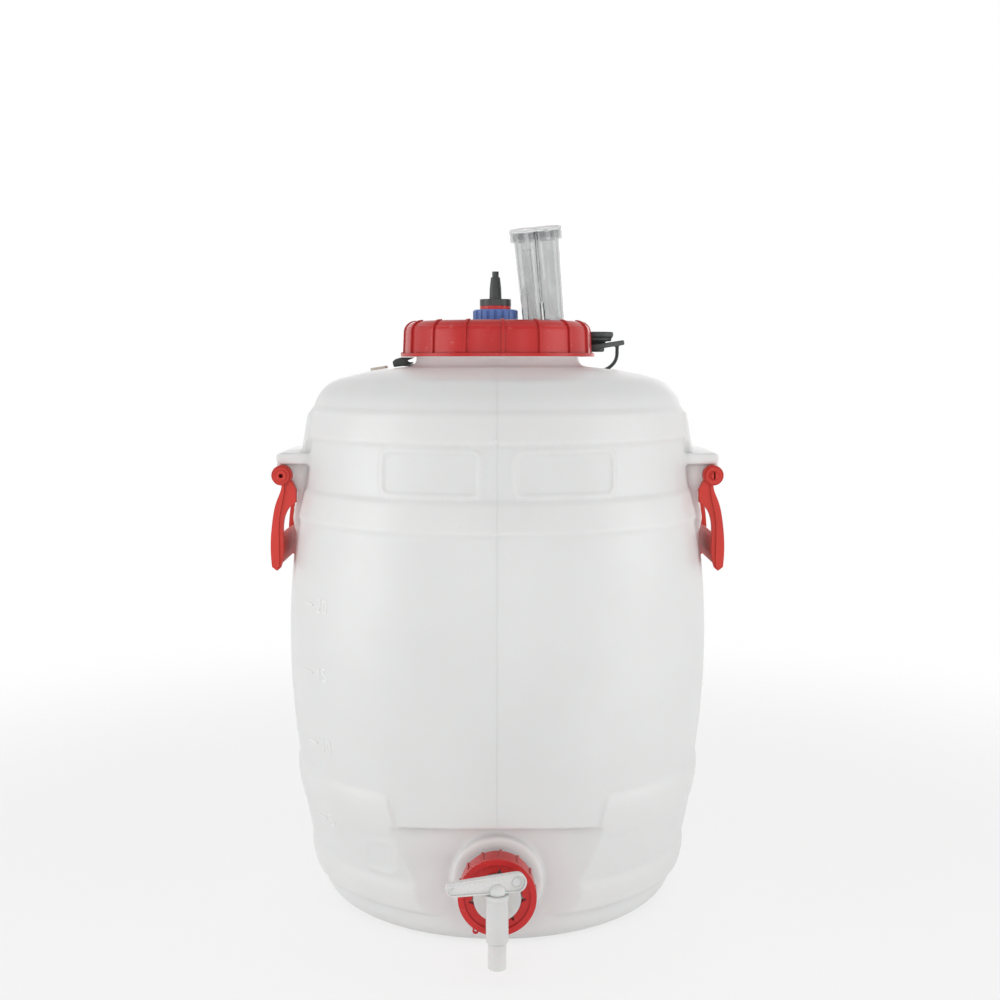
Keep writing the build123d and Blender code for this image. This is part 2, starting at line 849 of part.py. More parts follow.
with BuildPart() as airlock_grommet:
    revolve(
        turned(
            upright_plane(airlock_x, 0),
            (0, lid_plate_low - grommet_flange_t),
            (grommet_flange_r, lid_plate_low - grommet_flange_t),
            (grommet_flange_r, lid_plate_low),
            (grommet_r, lid_plate_low),
            (grommet_r, lid_plate_top),
            (grommet_flange_r, lid_plate_top),
            (grommet_flange_r, lid_plate_top + grommet_flange_t),
            (0, lid_plate_top + grommet_flange_t),
        ),
        axis=upright_axis(airlock_x, 0),
    )
    extrude(airlock_disc(-lid_plate_t, stem_r + stem_fit), amount=overrun, both=True, mode=Mode.SUBTRACT)
save(airlock_grommet, "airlock_grommet")

floor_z = chamber_lift + chamber_wall
half_pitch = chamber_pitch / 2
with BuildPart() as airlock_body:
    for x in (-half_pitch, half_pitch):
        add(chamber(x, chamber_lift, chamber_low_r, chamber_top_r, chamber_h))
    for x in (-half_pitch, half_pitch):
        inner = chamber(
            x, floor_z, chamber_low_r - chamber_wall, chamber_top_r - chamber_wall, chamber_h + chamber_wall
        )
        add(inner, mode=Mode.SUBTRACT)
    with BuildSketch(airlock_plane.offset(floor_z)):
        Rectangle(chamber_pitch, passage_w)
    extrude(amount=passage_h, mode=Mode.SUBTRACT)
    extrude(airlock_disc(-lid_plate_t - stem_below, stem_r), amount=lid_plate_t + stem_below + chamber_lift)
    with BuildSketch(airlock_plane.offset(chamber_lift)):
        with Locations((-half_pitch, 0)):
            Circle(riser_r)
    extrude(amount=chamber_h * riser_share)
    with BuildSketch(airlock_plane.offset(chamber_lift)):
        with Locations((-half_pitch, 0)):
            Circle(riser_r - chamber_wall)
    extrude(amount=chamber_h, mode=Mode.SUBTRACT)
save(airlock_body, "airlock_body")

cap_low = chamber_lift + chamber_h - cap_h + cap_top_t
with BuildPart() as airlock_cap:
    extrude(twin(cap_low, cap_r), amount=cap_h)
    extrude(twin(cap_low, cap_r - cap_skirt_t), amount=cap_h - cap_top_t, mode=Mode.SUBTRACT)
    with BuildSketch(airlock_plane.offset(cap_low)):
        with GridLocations(chamber_pitch, 0, 2, 1):
            Circle(cap_hole_r)
    extrude(amount=cap_h + overrun, mode=Mode.SUBTRACT)
save(airlock_cap, "airlock_cap")

# Tap, on the spout's axis: distances forward of the barrel's own axis
low_line = Axis((0, 0, tap_z), (0, -1, 0))
seal_front = spout_end + tap_gasket_t
flange_front = seal_front + tap_flange_t
nut_front = flange_front + nut_web_t
nut_back = nut_front - nut_len
disc_front = flange_front + tap_disc_t
housing_y = disc_front + tap_tube_len


def across_tap(distance):
    """A plane square to the spout's axis, at a distance forward of the barrel's axis."""
    return Plane(origin=(0, -distance, tap_z), x_dir=(1, 0, 0), z_dir=(0, -1, 0))


with BuildPart() as tap_gasket:
    revolve(
        turned(
            low_axis,
            (spout_bore_r, spout_end),
            (tap_flange_r, spout_end),
            (tap_flange_r, seal_front),
            (spout_bore_r, seal_front),
        ),
        axis=low_line,
    )
save(tap_gasket, "tap_gasket")

with BuildPart() as tap_ring_nut:
    revolve(
        turned(
            low_axis,
            (spout_r + nut_fit, nut_back),
            (nut_r - nut_rib_proud, nut_back),
            (nut_r - nut_rib_proud, nut_front - nut_band_t),
            (nut_r, nut_front - nut_band_t),
            (nut_r, nut_front),
            (nut_step_r, nut_front),
            (nut_step_r, nut_front - nut_step_t),
            (nut_hole_r, nut_front - nut_step_t),
            (nut_hole_r, flange_front),
            (spout_r + nut_fit, flange_front),
        ),
        axis=low_line,
    )
    with BuildSketch(across_tap(nut_back)):
        with PolarLocations(nut_r - nut_rib_proud, nut_rib_count, start_angle=nut_notch_turns[1]):
            Rectangle(2 * nut_rib_proud, nut_rib_w)
    extrude(amount=nut_len - nut_band_t)
    with BuildSketch(across_tap(flange_front)):
        for turn in nut_notch_turns:
            with PolarLocations(nut_hole_r, 1, start_angle=turn):
                RegularPolygon(nut_notch, 3)
    extrude(amount=nut_web_t, mode=Mode.SUBTRACT)
    with BuildSketch(across_tap(nut_front - nut_tab_t - nut_step_t)):
        with PolarLocations(nut_r + nut_tab_hole_r, 1, start_angle=nut_tab_turn):
            Circle(nut_tab_r)
            Circle(nut_tab_hole_r, mode=Mode.SUBTRACT)
    extrude(amount=nut_tab_t)
save(tap_ring_nut, "tap_ring_nut")

plug_axis = upright_axis(0, -housing_y)
plug_plane = upright_plane(0, -housing_y)
with BuildPart() as tap_body:
    revolve(
        turned(
            low_axis,
            (0, seal_front),
            (tap_flange_r, seal_front),
            (tap_flange_r, flange_front),
            (tap_disc_r, flange_front),
            (tap_disc_r, disc_front),
            (tap_tube_r, disc_front),
            (tap_tube_r, housing_y),
            (0, housing_y),
        ),
        axis=low_line,
    )
    revolve(
        turned(
            plug_plane,
            (0, housing_bottom),
            (housing_r - housing_chamfer, housing_bottom),
            (housing_r, housing_bottom + housing_chamfer),
            (housing_r, housing_top - housing_collar_t),
            (housing_r + housing_collar_proud, housing_top - housing_collar_t + housing_collar_proud),
            (housing_r + housing_collar_proud, housing_top - housing_collar_proud),
            (housing_r, housing_top),
            (0, housing_top),
        ),
        axis=plug_axis,
    )
    with BuildSketch(Plane.XY.offset(housing_bottom)):
        with Locations((0, -housing_y)):
            Circle(plug_r + plug_fit)
    extrude(amount=housing_top - housing_bottom, mode=Mode.SUBTRACT)
    with BuildSketch(across_tap(seal_front)):
        Circle(tap_bore_r)
    extrude(amount=housing_y - seal_front, mode=Mode.SUBTRACT)
save(tap_body, "tap_body")

port_turn = 90 - (tap_open - lever_turn)
port_plane = Plane(
    origin=(0, -housing_y, tap_z),
    x_dir=(0, 0, 1),
    z_dir=(math.cos(math.radians(port_turn)), math.sin(math.radians(port_turn)), 0),
)
with BuildPart() as tap_plug:
    revolve(
        turned(
            plug_plane,
            (0, nozzle_bottom),
            (nozzle_r, nozzle_bottom),
            (nozzle_r, housing_bottom - lever_gap),
            (plug_r, housing_bottom - lever_gap),
            (plug_r, oring_z),
            (plug_r - oring_t, oring_z),
            (plug_r - oring_t, oring_z + 2 * oring_t),
            (plug_r, oring_z + 2 * oring_t),
            (plug_r, housing_top),
            (0, housing_top),
        ),
        axis=plug_axis,
    )
    with BuildSketch(Plane.XY.offset(housing_top)):
        with Locations((0, -housing_y)):
            Rectangle(spigot, spigot)
    extrude(amount=spigot_h)
    with BuildSketch(Plane.XY.offset(nozzle_bottom)):
        with Locations((0, -housing_y)):
            Circle(plug_r - 2 * oring_t)
    extrude(amount=plug_bore_top - nozzle_bottom, mode=Mode.SUBTRACT)
    with BuildSketch(Plane.XY.offset(nozzle_bottom)):
        with Locations((0, -housing_y)):
            Circle(nozzle_bore_r)
    extrude(amount=housing_bottom - nozzle_bottom - overrun, mode=Mode.SUBTRACT)
    with BuildSketch(port_plane):
        Circle(plug_port_r)
    extrude(amount=nozzle_r, mode=Mode.SUBTRACT)
save(tap_plug, "tap_plug")

with BuildPart() as tap_oring:
    with BuildSketch(plug_plane):
        with Locations((plug_r - oring_t / 2, oring_z + oring_t)):
            Circle(oring_t / 2)
    revolve(axis=plug_axis)
save(tap_oring, "tap_oring")

# Lever: a flat flag with a raised rim through a round dome, on the plug's square spigot
lever_rad = math.radians(lever_turn)
lever_plane = Plane(
    origin=(0, -housing_y, lever_z),
    x_dir=(math.cos(lever_rad), math.sin(lever_rad), 0),
    z_dir=(math.sin(lever_rad), -math.cos(lever_rad), 0),
)


def lever_outline(inset):
    """The flag's outline: one round end each side of the spindle, joined by tangents."""
    with BuildSketch(lever_plane) as flag:
        with Locations((-lever_long, -lever_long_drop)):
            Circle(lever_long_r - inset)
        with Locations((lever_short, 0)):
            Circle(lever_short_r - inset)
        make_hull()
    return flag.sketch


dome_z = housing_top + dome_lift
with BuildPart() as tap_lever:
    extrude(lever_outline(0), amount=lever_t / 2, both=True)
    for facing in (1, -1):
        recess = extrude(
            lever_outline(lever_rim), amount=facing * lever_t, mode=Mode.PRIVATE
        )
        keep = extrude(
            lever_outline(lever_rim), amount=facing * (lever_t / 2 - lever_recess), mode=Mode.PRIVATE
        )
        add(recess - keep, mode=Mode.SUBTRACT)
    with BuildSketch(lever_plane):
        with Locations((-lever_long, -lever_long_drop)):
            Circle(lever_dot_r)
        with Locations((lever_short, 0)):
            Circle(lever_ring_r)
            Circle(lever_ring_r - lever_ring_w, mode=Mode.SUBTRACT)
    extrude(amount=lever_t / 2 - lever_recess + lever_mark_t)
    with Locations((0, -housing_y, dome_z)):
        Sphere(dome_r)
    with BuildSketch(Plane.XY.offset(housing_top + lever_gap)):
        with Locations((0, -housing_y)):
            Rectangle(2 * lever_long, 2 * lever_long)
    extrude(amount=-dome_r, mode=Mode.SUBTRACT)
    with BuildSketch(Plane.XY.offset(housing_top)):
        with Locations((0, -housing_y)):
            Rectangle(spigot, spigot)
    extrude(amount=spigot_h, mode=Mode.SUBTRACT)
save(tap_lever, "tap_lever")

# Strap: round rubber that lies on the shoulder behind the neck, from the stopper to a hook on the left
edge_r = spread(brow_shares)[-1][0]


def shoulder_z(radius):
    """Height of the barrel's shoulder between its brow and the root of the neck."""
    return shoulder_h + neck_root_rise * (edge_r - radius) / (edge_r - neck_root_r)


def bend_radii(points):
    """The radius for each corner of a route, as large as its two runs allow."""
    radii = []
    for before, corner, after in zip(points, points[1:], points[2:]):
        turn = math.radians((corner - before).get_angle(after - corner))
        shorter = min((corner - before).length, (after - corner).length)
        radii.append(strap_bend_share * shorter / math.tan(turn / 2))
    return radii


stopper_x = neck_root_r + stopper_out
stopper_z = shoulder_h + stopper_lift
tilt = math.radians(ring_tilt)
ring_plane = Plane(
    origin=(stopper_x, stopper_y, stopper_z - ring_drop),
    x_dir=(math.cos(tilt), 0, math.sin(tilt)),
    z_dir=(-math.sin(tilt), 0, math.cos(tilt)),
)
route = [Vector(x, y, shoulder_h + rise) for x, y, rise in strap_route]
print("strap bends, mm:", [round(radius, 1) for radius in bend_radii(route)])

with BuildPart() as tether_strap:
    with BuildLine() as run:
        FilletPolyline(*route, radius=bend_radii(route))
    with BuildSketch(Plane(origin=run.line @ 0, z_dir=run.line % 0)):
        Circle(strap_r)
    sweep(path=run.line)
    with BuildSketch(ring_plane):
        Circle(stopper_r + ring_band)
        with Locations((ring_tab_x, 0)):
            Circle(ring_tab_r)
        make_hull()
        Circle(stopper_plug_r + ring_hole_fit, mode=Mode.SUBTRACT)
    extrude(amount=-ring_t)
    hook = [
        (-neck_r - out * hook_w, shoulder_h + hook_lift + up * hook_h) for out, up in hook_shares
    ]
    extrude(turned(Plane.XZ, *hook), amount=hook_t / 2, both=True)
save(tether_strap, "tether_strap")

anchor_r = neck_root_r + anchor_out
slope = math.radians(anchor_slope)
anchor_mid = anchor_r + anchor_len / 2
anchor_plane = Plane(
    origin=(-anchor_mid, 0, shoulder_z(anchor_mid) + strap_clear),
    x_dir=(-math.cos(slope), 0, -math.sin(slope)),
    z_dir=(-math.sin(slope), 0, math.cos(slope)),
)
with BuildPart() as tether_anchor:
    with BuildSketch(anchor_plane):
        RectangleRounded(anchor_len, anchor_w, anchor_w / 4)
    extrude(amount=anchor_t)
save(tether_anchor, "tether_anchor")

stopper_axis = upright_axis(stopper_x, stopper_y)
with BuildPart() as hole_stopper:
    revolve(
        turned(
            upright_plane(stopper_x, stopper_y),
            (0, stopper_z - stopper_plug_len),
            (stopper_plug_tip_r, stopper_z - stopper_plug_len),
            (stopper_plug_r, stopper_z),
            (stopper_step_r, stopper_z),
            (stopper_step_r, stopper_z + stopper_step_t),
            (stopper_r, stopper_z + stopper_step_t),
            (stopper_r, stopper_z + stopper_step_t + stopper_t),
            (0, stopper_z + stopper_step_t + stopper_t),
        ),
        axis=stopper_axis,
    )
save(hole_stopper, "hole_stopper")
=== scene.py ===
# %% [markdown]
# Fermenting barrel, dressed for the studio
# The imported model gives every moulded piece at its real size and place. This lesson adds what the eye
# reads on top of that: how milky polyethylene glows, how red caps shine, the small moulded marks, and
# the screw threads that show when the lid comes off.

# %% Load the frame
import math

import bmesh
import bpy
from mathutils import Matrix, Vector
from mathutils.bvhtree import BVHTree


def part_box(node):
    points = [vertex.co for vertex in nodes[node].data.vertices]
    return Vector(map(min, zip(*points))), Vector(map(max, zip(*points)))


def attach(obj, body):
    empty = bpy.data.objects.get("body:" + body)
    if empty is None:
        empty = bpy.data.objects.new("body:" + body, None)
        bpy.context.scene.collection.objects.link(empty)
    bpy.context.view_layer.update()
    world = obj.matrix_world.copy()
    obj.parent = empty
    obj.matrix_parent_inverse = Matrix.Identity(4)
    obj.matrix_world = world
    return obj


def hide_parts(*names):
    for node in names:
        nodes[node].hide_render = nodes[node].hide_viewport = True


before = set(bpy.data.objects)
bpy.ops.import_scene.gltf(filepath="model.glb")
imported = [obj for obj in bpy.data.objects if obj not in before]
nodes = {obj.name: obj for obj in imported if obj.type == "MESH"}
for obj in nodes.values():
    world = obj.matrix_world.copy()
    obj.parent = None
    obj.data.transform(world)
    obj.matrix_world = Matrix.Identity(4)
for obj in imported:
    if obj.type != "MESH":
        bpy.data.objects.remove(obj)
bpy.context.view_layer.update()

print("frame loaded:", len(nodes), "nodes")

# %% [markdown]
# Camera first. The photograph was taken level with the lid from a little over a metre away, looking
# slightly down. Fitting the barrel's round outlines gave the lens and the height used here. The first
# helper links an object into the scene, because nothing that isn't linked is seen.

# %% Camera
CAMERA_PLACE = Vector((0.002, -1.130, 0.4362))
CAMERA_DOWN = math.radians(5.75)
CAMERA_LENS = 49.25
SENSOR = 36.0


def add_object(name, data):
    """An object made from its data and linked into the scene."""
    made = bpy.data.objects.new(name, data)
    bpy.context.scene.collection.objects.link(made)
    return made


camera_data = bpy.data.cameras.new("camera")
camera_data.lens = CAMERA_LENS
camera_data.sensor_width = SENSOR
camera = add_object("camera", camera_data)
camera.location = CAMERA_PLACE
camera.rotation_euler = (math.pi / 2 - CAMERA_DOWN, 0, 0)
bpy.context.scene.camera = camera
bpy.context.scene.view_settings.view_transform = "Standard"
print("camera:", CAMERA_LENS, "mm lens at", tuple(round(c, 3) for c in CAMERA_PLACE))

# %% [markdown]
# Materials are sums of small ideas: a little noise here, a mask there. Writing each sum as a Python
# expression keeps it readable, so one small class wraps a node's output and gives it arithmetic. Its
# reflected forms, such as __rsub__, let a plain number stand first, as in 1 - mask.

# %% Arithmetic on shader sockets
class Value:
    """An output socket with arithmetic: each sign adds one Math node to its tree."""

    def __init__(self, finish, socket):
        self.finish, self.socket = finish, socket

    def math(self, operation, other, swapped=False):
        pair = (other, self) if swapped else (self, other)
        return self.finish.add("ShaderNodeMath", {"operation": operation}, {0: pair[0], 1: pair[1]})

    def __add__(self, other):
        return self.math("ADD", other)

    def __radd__(self, other):
        return self.math("ADD", other)

    def __sub__(self, other):
        return self.math("SUBTRACT", other)

    def __rsub__(self, other):
        return self.math("SUBTRACT", other, swapped=True)

    def __mul__(self, other):
        return self.math("MULTIPLY", other)

    def __rmul__(self, other):
        return self.math("MULTIPLY", other)

    def clamp(self):
        return self.finish.add("ShaderNodeClamp", {}, {0: self, 1: 0.0, 2: 1.0})

    def ramp(self, low, high):
        """0 at low and 1 at high, with a soft start and end."""
        settings = {"interpolation_type": "SMOOTHSTEP"}
        return self.finish.add("ShaderNodeMapRange", settings, {0: self, 1: low, 2: high})


def add_node(tree, kind, settings, inputs):
    """Adds a node: its settings first, then the values or links of its sockets."""
    node = tree.nodes.new(kind)
    for setting, choice in settings.items():
        setattr(node, setting, choice)
    for socket, given in inputs.items():
        if isinstance(given, Value):
            given = given.socket
        if isinstance(given, bpy.types.NodeSocket):
            tree.links.new(given, node.inputs[socket])
        else:
            node.inputs[socket].default_value = given
    return node


print("socket arithmetic ready")

# %% [markdown]
# A finish is one material round Blender's Principled shader. What is the same all over a piece is set on
# the shader itself. What changes over its surface is a value linked to a socket. Patterns read Object
# coordinates, in metres, so a grain has the same real size on every piece.

# %% Finishes
CREVICE_SAMPLES = 8
ROUNDING_SAMPLES = 4


class Finish:
    """A material being built round one Principled shader."""

    def __init__(self, name, **constants):
        self.material = bpy.data.materials.new(name)
        self.material.use_nodes = True
        self.tree = self.material.node_tree
        self.shader = self.tree.nodes["Principled BSDF"]
        for socket, number in constants.items():
            self.shader.inputs[socket.replace("_", " ")].default_value = number
        self.place = self.add("ShaderNodeTexCoord", {}, {}, output="Object")

    def add(self, kind, settings, inputs, output=0):
        """Adds a node and gives one of its outputs."""
        return Value(self, add_node(self.tree, kind, settings, inputs).outputs[output])

    def feed(self, **links):
        """Links values to the shader's own sockets."""
        for socket, value in links.items():
            self.tree.links.new(value.socket, self.shader.inputs[socket.replace("_", " ")])

    def noise(self, scale, detail=3.0, roughness=0.55):
        """Soft random values about 0.5, at so many waves a metre."""
        inputs = {"Vector": self.place, "Scale": scale, "Detail": detail, "Roughness": roughness}
        return self.add("ShaderNodeTexNoise", {}, inputs)

    def axis(self, letter):
        """One coordinate of the piece, in metres."""
        return self.add("ShaderNodeSeparateXYZ", {}, {0: self.place}, output=letter)

    def crevice(self, reach):
        """1 on open skin, less where the piece's own walls stand close, within reach."""
        settings = {"samples": CREVICE_SAMPLES, "only_local": True}
        return self.add("ShaderNodeAmbientOcclusion", settings, {"Distance": reach}, output="AO")

    def mix(self, share, first, second):
        """A colour between two colours."""
        return self.add("ShaderNodeMix", {"data_type": "RGBA"}, {0: share, 6: first, 7: second}, output=2)

    def bump(self, height, strength, distance, rounding=0.0):
        """Grain on the skin, and edges that shade as if rounded to a small radius."""
        inputs = {"Height": height, "Strength": strength, "Distance": distance}
        if rounding > 0.0:
            settings = {"samples": ROUNDING_SAMPLES}
            inputs["Normal"] = self.add("ShaderNodeBevel", settings, {"Radius": rounding}, output="Normal")
        self.feed(Normal=self.add("ShaderNodeBump", {}, inputs))


def rgba(red, green, blue):
    """An opaque colour."""
    return (red, green, blue, 1.0)


print("finish builder ready")

# %% [markdown]
# Most of the object is moulded plastic, and moulded plastics differ in few ways: their colour, how
# much light they let in, and how finely the mould was polished. One function makes the common part.
# Slow noise shifts the colour a little, as uneven cooling does, and fast noise roughens the skin.
# Handling leaves pale scuffs, and corners and grooves are painted a little darker, as painted shade.

# %% Moulded plastics
GRAIN_A_METRE = 900.0
GRAIN_DEPTH = 0.00004
GRAIN_STRENGTH = 0.35
DRIFT_A_METRE = 14.0
DRIFT_RANGE = (0.3, 0.7)
SCUFFS_A_METRE = 130.0
SCUFF_RANGE = (0.6, 0.78)
SCUFF_PALER = 0.45
SCUFF_ROUGHER = 0.25
CREVICE_REACH = 0.0025
CREVICE_RANGE = (0.35, 0.95)
CREVICE_SHADE = 0.55
CREVICE_TONE = 0.4
POLISH_DRIFT = 0.12
POLISH_GRAIN = 0.08
EDGE_RADIUS = 0.0006
DEEPER = 0.88


def moulded(
    name, pale, deep, rough,
    grain=GRAIN_A_METRE, scuff=0.0, grime=CREVICE_SHADE, rounding=EDGE_RADIUS, **constants,
):
    """A moulded plastic or rubber whose colour drifts between pale and deep."""
    finish = Finish(name, **constants)
    slow = finish.noise(DRIFT_A_METRE, detail=2.0)
    fine = finish.noise(grain, detail=2.0)
    rubbed = finish.noise(SCUFFS_A_METRE, detail=6.0, roughness=0.7).ramp(*SCUFF_RANGE) * scuff
    colour = finish.mix(slow.ramp(*DRIFT_RANGE), pale, deep)
    paler = tuple(channel + (1 - channel) * SCUFF_PALER for channel in pale)
    # Painted shade: corners and grooves, found by ambient occlusion, are painted darker towards CREVICE_TONE
    # of the pale colour.
    shade = (1 - finish.crevice(CREVICE_REACH).ramp(*CREVICE_RANGE)) * grime
    shaded = rgba(*(channel * CREVICE_TONE for channel in pale[:3]))
    finish.feed(
        Base_Color=finish.mix(shade, finish.mix(rubbed, colour, paler), shaded),
        Roughness=rough + (slow - 0.5) * POLISH_DRIFT + (fine - 0.5) * POLISH_GRAIN + rubbed * SCUFF_ROUGHER,
    )
    finish.bump(fine, GRAIN_STRENGTH, GRAIN_DEPTH, rounding=rounding)
    return finish.material


def satin(name, colour, rough, **settings):
    """A moulded plastic that drifts to a slightly deeper shade of its one colour."""
    deep = rgba(*(channel * DEEPER for channel in colour[:3]))
    return moulded(name, colour, deep, rough, **settings)


print("moulded plastic defined")

# %% [markdown]
# The coloured pieces. Lid, ring nut and handles are three slightly different reds, because they come
# from different moulds and polishes. Rubber is dull and black, and the tap is a harder white. Light
# gets a little way into the whites, which subsurface scattering shows; their grooves get less painted shade.

# %% Coloured finishes
# The whites' corners and grooves take less painted shade than the other plastics.
WHITE_PAINTED_SHADE = 0.22
WHITE_DEPTH = 0.003

lid_red = satin("lid_red", rgba(0.57, 0.024, 0.023), 0.3, scuff=0.3, Specular_IOR_Level=0.3)
handle_red = satin("handle_red", rgba(0.68, 0.052, 0.04), 0.5, scuff=0.12, Specular_IOR_Level=0.25)
nut_red = satin("nut_red", rgba(0.66, 0.026, 0.026), 0.28, scuff=0.15, Specular_IOR_Level=0.35)
vent_blue = satin("vent_blue", rgba(0.09, 0.21, 0.6), 0.36, scuff=0.3, IOR=1.5)
rubber_black = satin("rubber_black", rgba(0.04, 0.045, 0.046), 0.5, grain=1500.0, scuff=0.12)
nozzle_black = satin("nozzle_black", rgba(0.034, 0.037, 0.039), 0.4, scuff=0.1)
# The ticks, litre numbers and vent dots are moulded in the milky wall. Their near-white colour is painted
# highlight, for the light their raised edges catch, and they take no painted shade.
mark_painted_highlight = satin("mark_painted_highlight", rgba(0.95, 0.95, 0.945), 0.3, grime=0.0, rounding=0.0)
tag_cream = satin("tag_cream", rgba(0.72, 0.66, 0.56), 0.5)
seal_grey = satin("seal_grey", rgba(0.16, 0.16, 0.16), 0.6)
tap_white = satin(
    "tap_white", rgba(0.78, 0.78, 0.77), 0.28, grime=WHITE_PAINTED_SHADE,
    Subsurface_Weight=0.15, Subsurface_Scale=WHITE_DEPTH, IOR=1.5,
)
nozzle_natural = satin(
    "nozzle_natural", rgba(0.8, 0.795, 0.785), 0.3, grime=WHITE_PAINTED_SHADE,
    Subsurface_Weight=0.3, Subsurface_Scale=WHITE_DEPTH, IOR=1.5,
)
print("coloured finishes made")

# %% [markdown]
# The barrel is uncoloured polyethylene, blown into its mould in one wall. Light gets into it and comes
# out nearby, so its shadows are soft. Slow haze, faint upright flow marks from the blowing and a few
# specks of pigment keep the large plain surface from looking painted. The neck is painted whiter, as
# painted light for the glow that comes through its wall under the lid's shading flange, and the folds
# of the belts are painted a little grey, as painted shade.

# %% Milky barrel
HAZE_A_METRE = 9.0
HAZE_RANGE = (0.25, 0.75)
FLOW_A_METRE = 42.0
FLOW_STRETCH = (1.0, 1.0, 0.06)
SPECKS_A_METRE = 11.0
SPECK_SIZE = 0.012
SPECK_SHARE = 0.7
SPECK_BROWN = rgba(0.5, 0.1, 0.06)
WALL_PALE = rgba(0.8, 0.8, 0.795)
WALL_DEEP = rgba(0.77, 0.77, 0.765)
NECK_PAINTED_LIGHT_WHITE = rgba(0.95, 0.945, 0.94)
NECK_STARTS = 0.412
NECK_BLEND = 0.018
FOLD_REACH = 0.009
FOLD_RANGE = (0.65, 0.99)
FOLD_SHADE = 0.35
FOLD_SHADE_GREY = rgba(0.4, 0.4, 0.4)
MILKY_ROUGH = 0.4
HAZE_POLISH = 0.1
FLOW_POLISH = 0.12
SKIN_A_METRE = 380.0
FLOW_RELIEF = 1.5
SKIN_STRENGTH = 0.25
SKIN_DEPTH = 0.00008
GLOW_DEPTH = 0.004
GLOW_SPREAD = (1.0, 0.85, 0.8)


def milky_barrel(name, glow):
    """Milky polyethylene. A mark thinner than the light goes takes no glow and no painted fold shade."""
    finish = Finish(
        name, Subsurface_Weight=glow, Subsurface_Scale=GLOW_DEPTH, Subsurface_Radius=GLOW_SPREAD, IOR=1.5,
    )
    haze = finish.noise(HAZE_A_METRE, detail=2.0).ramp(*HAZE_RANGE)
    upright = finish.add("ShaderNodeMapping", {}, {"Vector": finish.place, "Scale": FLOW_STRETCH})
    flow_inputs = {"Vector": upright, "Scale": FLOW_A_METRE, "Detail": 4.0}
    flow = finish.add("ShaderNodeTexNoise", {}, flow_inputs)
    cell_inputs = {"Vector": finish.place, "Scale": SPECKS_A_METRE}
    cell = finish.add("ShaderNodeTexVoronoi", {}, cell_inputs, output="Distance")
    speck = 1 - cell.ramp(SPECK_SIZE * 0.5, SPECK_SIZE)
    # Painted light: above the neck's start the wall is painted whiter, standing in for the glow through its
    # wall where the lid's flange shades it.
    neck_painted_light = finish.axis("Z").ramp(NECK_STARTS, NECK_STARTS + NECK_BLEND)
    plain = finish.mix(neck_painted_light, finish.mix(haze, WALL_PALE, WALL_DEEP), NECK_PAINTED_LIGHT_WHITE)
    if glow > 0.0:
        # Painted shade: away from the neck, the belts' folds, found by ambient occlusion, are painted towards
        # grey.
        fold = (1 - finish.crevice(FOLD_REACH).ramp(*FOLD_RANGE)) * (1 - neck_painted_light) * FOLD_SHADE
        plain = finish.mix(fold, plain, FOLD_SHADE_GREY)
    finish.feed(
        Base_Color=finish.mix(speck * SPECK_SHARE, plain, SPECK_BROWN),
        Roughness=MILKY_ROUGH + (haze - 0.5) * HAZE_POLISH + (flow - 0.5) * FLOW_POLISH,
    )
    skin = finish.noise(SKIN_A_METRE, detail=2.0) + flow * FLOW_RELIEF
    finish.bump(skin, SKIN_STRENGTH, SKIN_DEPTH)
    return finish.material


milky = milky_barrel("milky_polyethylene", 0.5)
milky_mark = milky_barrel("milky_marks", 0.0)
print("milky wall made")

# %% [markdown]
# The airlock is clear polystyrene. Glass-like transmission needs real wall thickness, which the
# model has. A faint roughness keeps it from looking like crystal. Light crosses many walls on its way,
# so each takes a little of it. The thin riser inside takes less, or it would look like a dark panel,
# and its distance from the airlock's leaning middle line tells it from the walls.

# %% Clear plastic
AIRLOCK_FOOT = (0.0294, 0.0, 0.4641)
AIRLOCK_RISE = Vector((-0.0998, -0.2126, 1.0)).normalized()
RISER_RADIUS = 0.0042
RISER_BLEND = 1.1
RISER_CLEAR = rgba(0.93, 0.93, 0.93)
WALL_CLEAR = rgba(0.72, 0.725, 0.725)
WALL_DIM = rgba(0.67, 0.68, 0.68)
CLEAR_A_METRE = 60.0
CLEAR_ROUGH = 0.03
CLEAR_HAZE = 0.05
RIPPLE_STRENGTH = 0.1
RIPPLE_DEPTH = 0.0002


def clear_plastic():
    """Clear polystyrene, whose thin inner riser takes less of the light than the chambers' walls."""
    finish = Finish("clear_polystyrene", Transmission_Weight=1.0, IOR=1.36)
    haze = finish.noise(CLEAR_A_METRE)
    away = finish.add(
        "ShaderNodeVectorMath", {"operation": "SUBTRACT"}, {0: finish.place, 1: AIRLOCK_FOOT},
    )
    square = finish.add(
        "ShaderNodeVectorMath", {"operation": "CROSS_PRODUCT"}, {0: away, 1: tuple(AIRLOCK_RISE)},
    )
    radius = finish.add("ShaderNodeVectorMath", {"operation": "LENGTH"}, {0: square}, output="Value")
    walls = finish.mix(haze.ramp(*DRIFT_RANGE), WALL_CLEAR, WALL_DIM)
    outside = radius.ramp(RISER_RADIUS, RISER_RADIUS * RISER_BLEND)
    finish.feed(
        Base_Color=finish.mix(outside, RISER_CLEAR, walls),
        Roughness=CLEAR_ROUGH + haze * CLEAR_HAZE,
    )
    finish.bump(finish.noise(CLEAR_A_METRE, detail=1.0), RIPPLE_STRENGTH, RIPPLE_DEPTH)
    return finish.material


clear = clear_plastic()
print("clear plastic made")

# %% [markdown]
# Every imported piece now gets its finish. One table says which, so a change of mind is a change of one
# word, and the hidden seals get theirs too, because they show when the lid or the tap comes apart.

